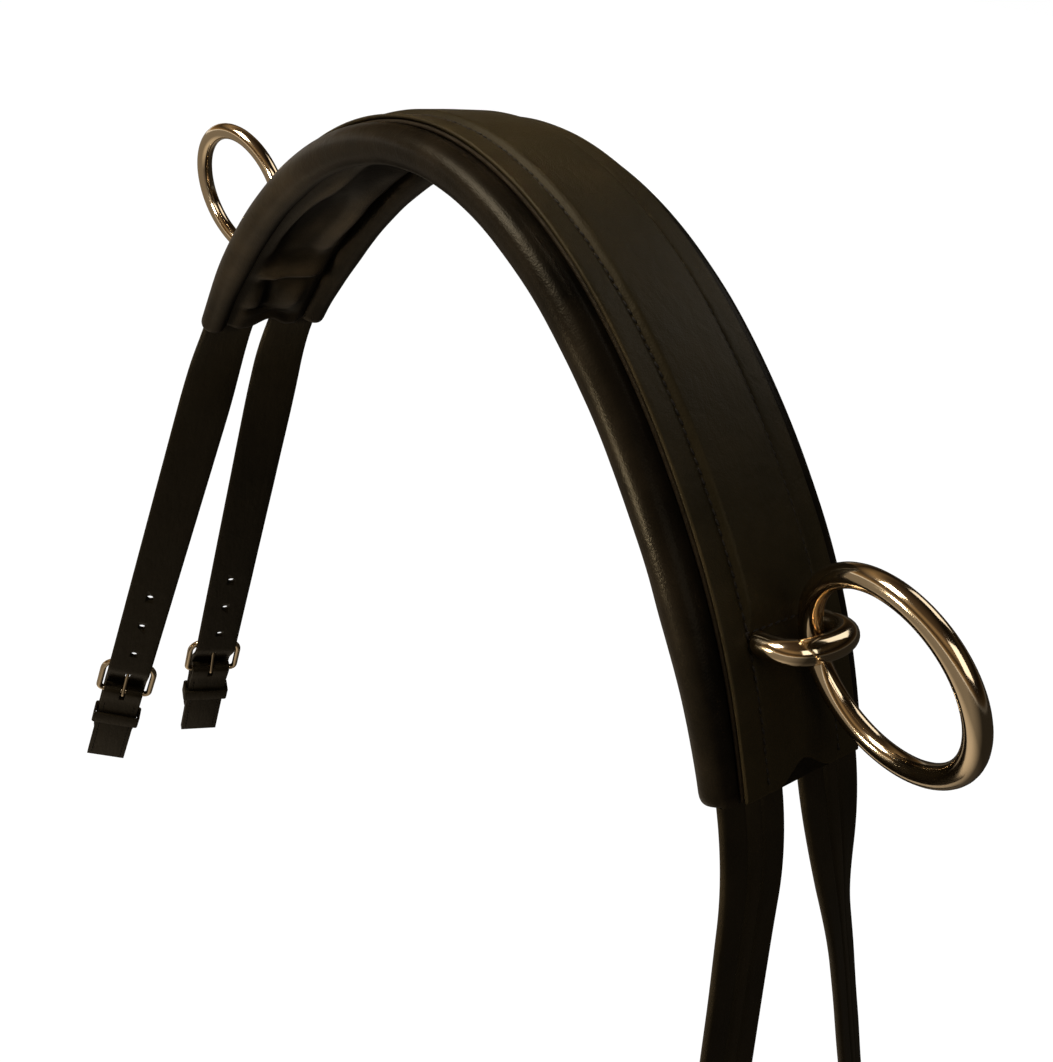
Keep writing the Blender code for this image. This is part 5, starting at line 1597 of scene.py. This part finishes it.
def chape_line():
    """The folded chape's middle line, from its front foot over the bar to its back foot."""
    foot = BUCKLE_HALF_LENGTH + CHAPE_LENGTH
    seat = BUCKLE_HALF_LENGTH + KEEPER_BELOW_BAR + KEEPER_WIDTH + SEAT_BELOW_KEEPER
    joined = BUCKLE_HALF_LENGTH + CHAPE_JOINED_BELOW_BAR
    slot_end = BUCKLE_HALF_LENGTH + CHAPE_JOINED_BELOW_BAR / 2
    narrowing = (CHAPE_FOLD_RADIUS + CHAPE_LEG_OUT) / 2
    leg = [(CHAPE_LEG_OUT, seat), (CHAPE_LEG_OUT, joined), (narrowing, slot_end)]
    fold = []
    for angle in map(math.radians, CHAPE_FOLD):
        down = BUCKLE_HALF_LENGTH + CHAPE_FOLD_RADIUS * math.sin(angle)
        fold.append((CHAPE_FOLD_RADIUS * math.cos(angle), down))
    back = [(-out, down) for out, down in reversed(leg)]
    feet = [(sign * CHAPE_LEG_OUT - CHAPE_FOOT_SET, foot) for sign in (1, -1)]
    return feet[:1] + leg + fold + back + feet[1:]


# %% Define how a chape is made
CHAPE_HALF_WIDTH = 13.0 * MM
CHAPE_EDGE = 0.35 * MM
SLOT_ROWS = 3


def make_chape(word):
    """The chape with its slot for the tongue."""
    path = paths[word]
    line = chape_line()
    last = len(line) - 1
    half_slot = TONGUE_RADIUS + TONGUE_GAP

    def place(index, across, face):
        before = line[max(index - 1, 0)]
        after = line[min(index + 1, last)]
        along = Vector((after[0] - before[0], after[1] - before[1])).normalized()
        shift = CHAPE_THICKNESS / 2 if face else -CHAPE_THICKNESS / 2
        return path.local(across, line[index][0] - along[1] * shift, line[index][1] + along[0] * shift)

    def in_slot(i, j):
        return j == 1 and SLOT_ROWS <= i < last - SLOT_ROWS

    columns = (-CHAPE_HALF_WIDTH, -half_slot, half_slot, CHAPE_HALF_WIDTH)
    mesh_data = sheet_with_thickness(range(len(line)), columns, place, in_slot)
    piece = cut_leather(word + "_chape_leather", mesh_data, path, CHAPE_EDGE)
    dress(piece, word + "_strap", "leather_strap", word + "_chape")


# %% Make the chapes and the keepers
KEEPER_THICKNESS = 1.6 * MM
KEEPER_INNER_ROUND = 0.05 * MM
KEEPER_EDGE = 0.3 * MM
CORNER_DEGREES = 18


def make_keeper(word):
    """The loop: a band with round outer corners, a little slack over the strap's point."""
    path = paths[word]
    side = STRAP_WIDTH / 2 + SEAT_GAP
    back = -CHAPE_FACE - SEAT_GAP
    front = TAIL_OUT + STRAP_THICKNESS / 2 + SEAT_GAP
    top = BUCKLE_HALF_LENGTH + KEEPER_BELOW_BAR
    foot = top + KEEPER_WIDTH
    outer = KEEPER_THICKNESS
    inner = KEEPER_INNER_ROUND
    corners = ((side, front, 0), (-side, front, 90), (-side, back, 180), (side, back, 270))
    mesh_data = bmesh.new()
    rings = []
    for radius, down in ((outer, top), (outer, foot), (inner, foot), (inner, top)):
        ring = []
        for across, out, first in corners:
            for angle in map(math.radians, range(first, first + 91, CORNER_DEGREES)):
                point = path.local(across + radius * math.cos(angle), out + radius * math.sin(angle), down)
                ring.append(mesh_data.verts.new(point))
        rings.append(ring)
    bridge(mesh_data, rings, True)
    piece = cut_leather(word + "_loop", mesh_data, path, KEEPER_EDGE)
    dress(piece, word + "_strap", "leather_strap", word + "_keeper")


for word in paths:
    make_chape(word)
    make_keeper(word)


# %% [markdown]
# ## Stitches
# A harness maker sews about eight stitches to the inch, and the rows are what a buyer looks at. Hundreds
# of threads by hand would be slow, and a painted line would look flat. Geometry Nodes suit this well: a
# row is a plain line of points, and the tree walks along it at an even pitch, sets a small stretched
# ball at each step, turns it along the row and stands it on the leather. The tree's inputs are named, so
# the thread can be made longer or thicker in one place.

# %% Build the sewing tree
THREAD_LENGTH = 2.7 * MM
THREAD_WIDTH = 0.85 * MM
THREAD_SLANT = 0.16
THREAD_FLATNESS = 0.75
THREAD_SHIFT = 0.05
ROW_OUT = "row_out"
SEWING_INPUTS = {
    "Geometry": "Geometry", "Pitch": "Float", "Thread length": "Float", "Thread width": "Float",
    "Slant": "Float", "Seed": "Int", "Thread": "Material",
}


def sewing_tree():
    """The node tree and the identifiers of its named inputs."""
    tree = bpy.data.node_groups.new("sewn_row", "GeometryNodeTree")
    face = tree.interface
    names = {}
    for label, kind in SEWING_INPUTS.items():
        socket = face.new_socket(label, in_out="INPUT", socket_type="NodeSocket" + kind)
        names[label] = socket.identifier
    face.new_socket("Geometry", in_out="OUTPUT", socket_type="NodeSocketGeometry")
    grow(tree, {
        "given": ("NodeGroupInput",),
        "result": ("NodeGroupOutput",),
        "as_curve": ("GeometryNodeMeshToCurve",),
        "steps": ("GeometryNodeResampleCurve", {"mode": "LENGTH"}),
        "ball": ("GeometryNodeMeshUVSphere", {"Segments": 8, "Rings": 5, "Radius": 0.5}),
        "flatter": ("Math", {"operation": "MULTIPLY", 1: THREAD_FLATNESS}),
        "size": ("CombineXYZ",),
        "shaped": ("GeometryNodeTransform",),
        "tangent": ("GeometryNodeInputTangent",),
        "along": ("FunctionNodeAlignRotationToVector", {"axis": "X"}),
        "stored": ("GeometryNodeInputNamedAttribute", {"data_type": "FLOAT_VECTOR", "Name": ROW_OUT}),
        "upright": ("FunctionNodeAlignRotationToVector", {"axis": "Z", "pivot_axis": "X"}),
        "chance": ("FunctionNodeRandomValue", {"data_type": "FLOAT", 2: -THREAD_SHIFT, 3: THREAD_SHIFT}),
        "slant": ("Math", {"operation": "ADD"}),
        "spin": ("CombineXYZ",),
        "spin_turn": ("FunctionNodeEulerToRotation",),
        "turned": ("FunctionNodeRotateRotation", {"rotation_space": "LOCAL"}),
        "place": ("GeometryNodeInstanceOnPoints",),
        "solid": ("GeometryNodeRealizeInstances",),
        "dyed": ("GeometryNodeSetMaterial",),
    }, (
        "given.Geometry > as_curve.Mesh", "as_curve.Curve > steps.Curve", "given.Pitch > steps.Length",
        "given.Thread width > flatter.0", "given.Thread length > size.X", "given.Thread width > size.Y",
        "flatter.0 > size.Z", "ball.Mesh > shaped.Geometry", "size.0 > shaped.Scale",
        "tangent.0 > along.Vector", "along.Rotation > upright.Rotation",
        "stored.Attribute > upright.Vector", "given.Seed > chance.Seed", "chance.1 > slant.0",
        "given.Slant > slant.1", "slant.0 > spin.Z", "spin.0 > spin_turn.0",
        "upright.Rotation > turned.Rotation", "spin_turn.0 > turned.Rotate By",
        "steps.Curve > place.Points", "shaped.Geometry > place.Instance",
        "turned.Rotation > place.Rotation", "place.Instances > solid.Geometry",
        "solid.Geometry > dyed.Geometry", "given.Thread > dyed.Material",
        "dyed.Geometry > result.Geometry",
    ))
    return tree, names


sewing, sewing_inputs = sewing_tree()
print("sewing inputs:", sorted(sewing_inputs))

# %% Define how rows are sewn
def sew(name, rows, body, seed):
    """Sew all the rows of one body: each row is a list of (point, outward direction)."""
    points = []
    outs = []
    edges = []
    for row in rows:
        start = len(points)
        for point, out in row:
            points.append(point)
            outs.extend(out)
        edges += [(start + k, start + k + 1) for k in range(len(row) - 1)]
    mesh = bpy.data.meshes.new(name + "_rows")
    mesh.from_pydata(points, edges, [])
    mesh.attributes.new(ROW_OUT, "FLOAT_VECTOR", "POINT").data.foreach_set("vector", outs)
    carrier = add_object(name + "_rows", mesh)
    modifier = carrier.modifiers.new("sew", "NODES")
    modifier.node_group = sewing
    values = {
        "Pitch": PITCH, "Thread length": THREAD_LENGTH, "Thread width": THREAD_WIDTH,
        "Slant": THREAD_SLANT, "Seed": seed, "Thread": thread,
    }
    for label, value in values.items():
        modifier[sewing_inputs[label]] = value
    stitches = bake(carrier, name)
    stitches.data.shade_smooth()
    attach(stitches, body)
    print(name, "rows", len(rows), "faces", len(stitches.data.polygons))


# %% [markdown]
# ### Where the rows run
# Two long rows follow the grooves of the cover from end to end. Where the felt stops, a short row crosses
# between them. On each face of a chape, two rows run down each side, one above the keeper and one below.

# %% Define the rows
ROW_LIFT = 0.12 * MM
CHAPE_ROW_STEP = 2.0 * MM
OUTWARD_PROBE = 10.0 * MM
CHAPE_ROW_LIFT = 0.08 * MM
TILT_START = BUCKLE_HALF_LENGTH + KEEPER_BELOW_BAR + KEEPER_WIDTH + SEAT_BELOW_KEEPER
TILT_LENGTH = BUCKLE_HALF_LENGTH + CHAPE_LENGTH - TILT_START


def cover_row(places):
    """Points just above the cover with the direction out of it."""
    row = []
    for station, side_y in places:
        point = on_pad(station, side_y, cover_surface(station, side_y) + ROW_LIFT)
        outward = on_arch(station, side_y, OUTWARD_PROBE) - on_arch(station, side_y, 0.0)
        row.append((point, outward.normalized()))
    return row


def chape_row(path, side_y, face, first, last):
    """Points just above one face of a chape, down one side of it."""
    row = []
    for down in stations_every(CHAPE_ROW_STEP, first * MM, last * MM):
        tilt = CHAPE_FOOT_SET * max(down - TILT_START, 0.0) / TILT_LENGTH
        out = face * (CHAPE_FACE + CHAPE_ROW_LIFT) - tilt
        row.append((path.local(side_y, out, down), path.out * face))
    return row


# %% Sew the pad and the chapes
ROW_END = LEG_LENGTH - 4.0 * MM
CROSS_STATION = PANEL_END + PANEL_DROP - 1.0 * MM
LONG_ROW_STEP = 4.0 * MM
CROSS_ROW_STEP = 1.5 * MM
CHAPE_ROW_FROM_MIDDLE = 10.2 * MM
CHAPE_ROWS = ((30.0, 37.0), (52.0, 83.0))
PAD_SEED = 11
CHAPE_SEED = 20
pad_rows = []
for side_y in (-STITCH_FROM_MIDDLE, STITCH_FROM_MIDDLE):
    along = stations_every(LONG_ROW_STEP, -ROW_END, ROW_END)
    pad_rows.append(cover_row([(station, side_y) for station in along]))
for station in (-CROSS_STATION, CROSS_STATION):
    across = stations_every(CROSS_ROW_STEP, -STITCH_FROM_MIDDLE, STITCH_FROM_MIDDLE)
    pad_rows.append(cover_row([(station, side_y) for side_y in across]))
sew("pad_stitches", pad_rows, "pad", PAD_SEED)

for count, (word, path) in enumerate(paths.items()):
    rows = []
    for side_y in (-CHAPE_ROW_FROM_MIDDLE, CHAPE_ROW_FROM_MIDDLE):
        for face in (1.0, -1.0):
            rows += [chape_row(path, side_y, face, *ends) for ends in CHAPE_ROWS]
    sew(word + "_stitches", rows, word + "_strap", CHAPE_SEED + count)


# %% [markdown]
# ## The pieces inside
# The foam, the felt, the staples' plates and their washers lie inside the pad. Their solids are already
# right, so they only get a finish.

# %% Finish the inner pieces
inside = {"foam_core": foam_finish, "panel_filler": felt_finish}
for word in ("left", "right"):
    for piece in ("staple_plate", "front_burr", "rear_burr"):
        inside[word + "_" + piece] = plated
for node, finish in inside.items():
    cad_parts[node].material_slots[0].material = finish
print("inner pieces:", len(inside))
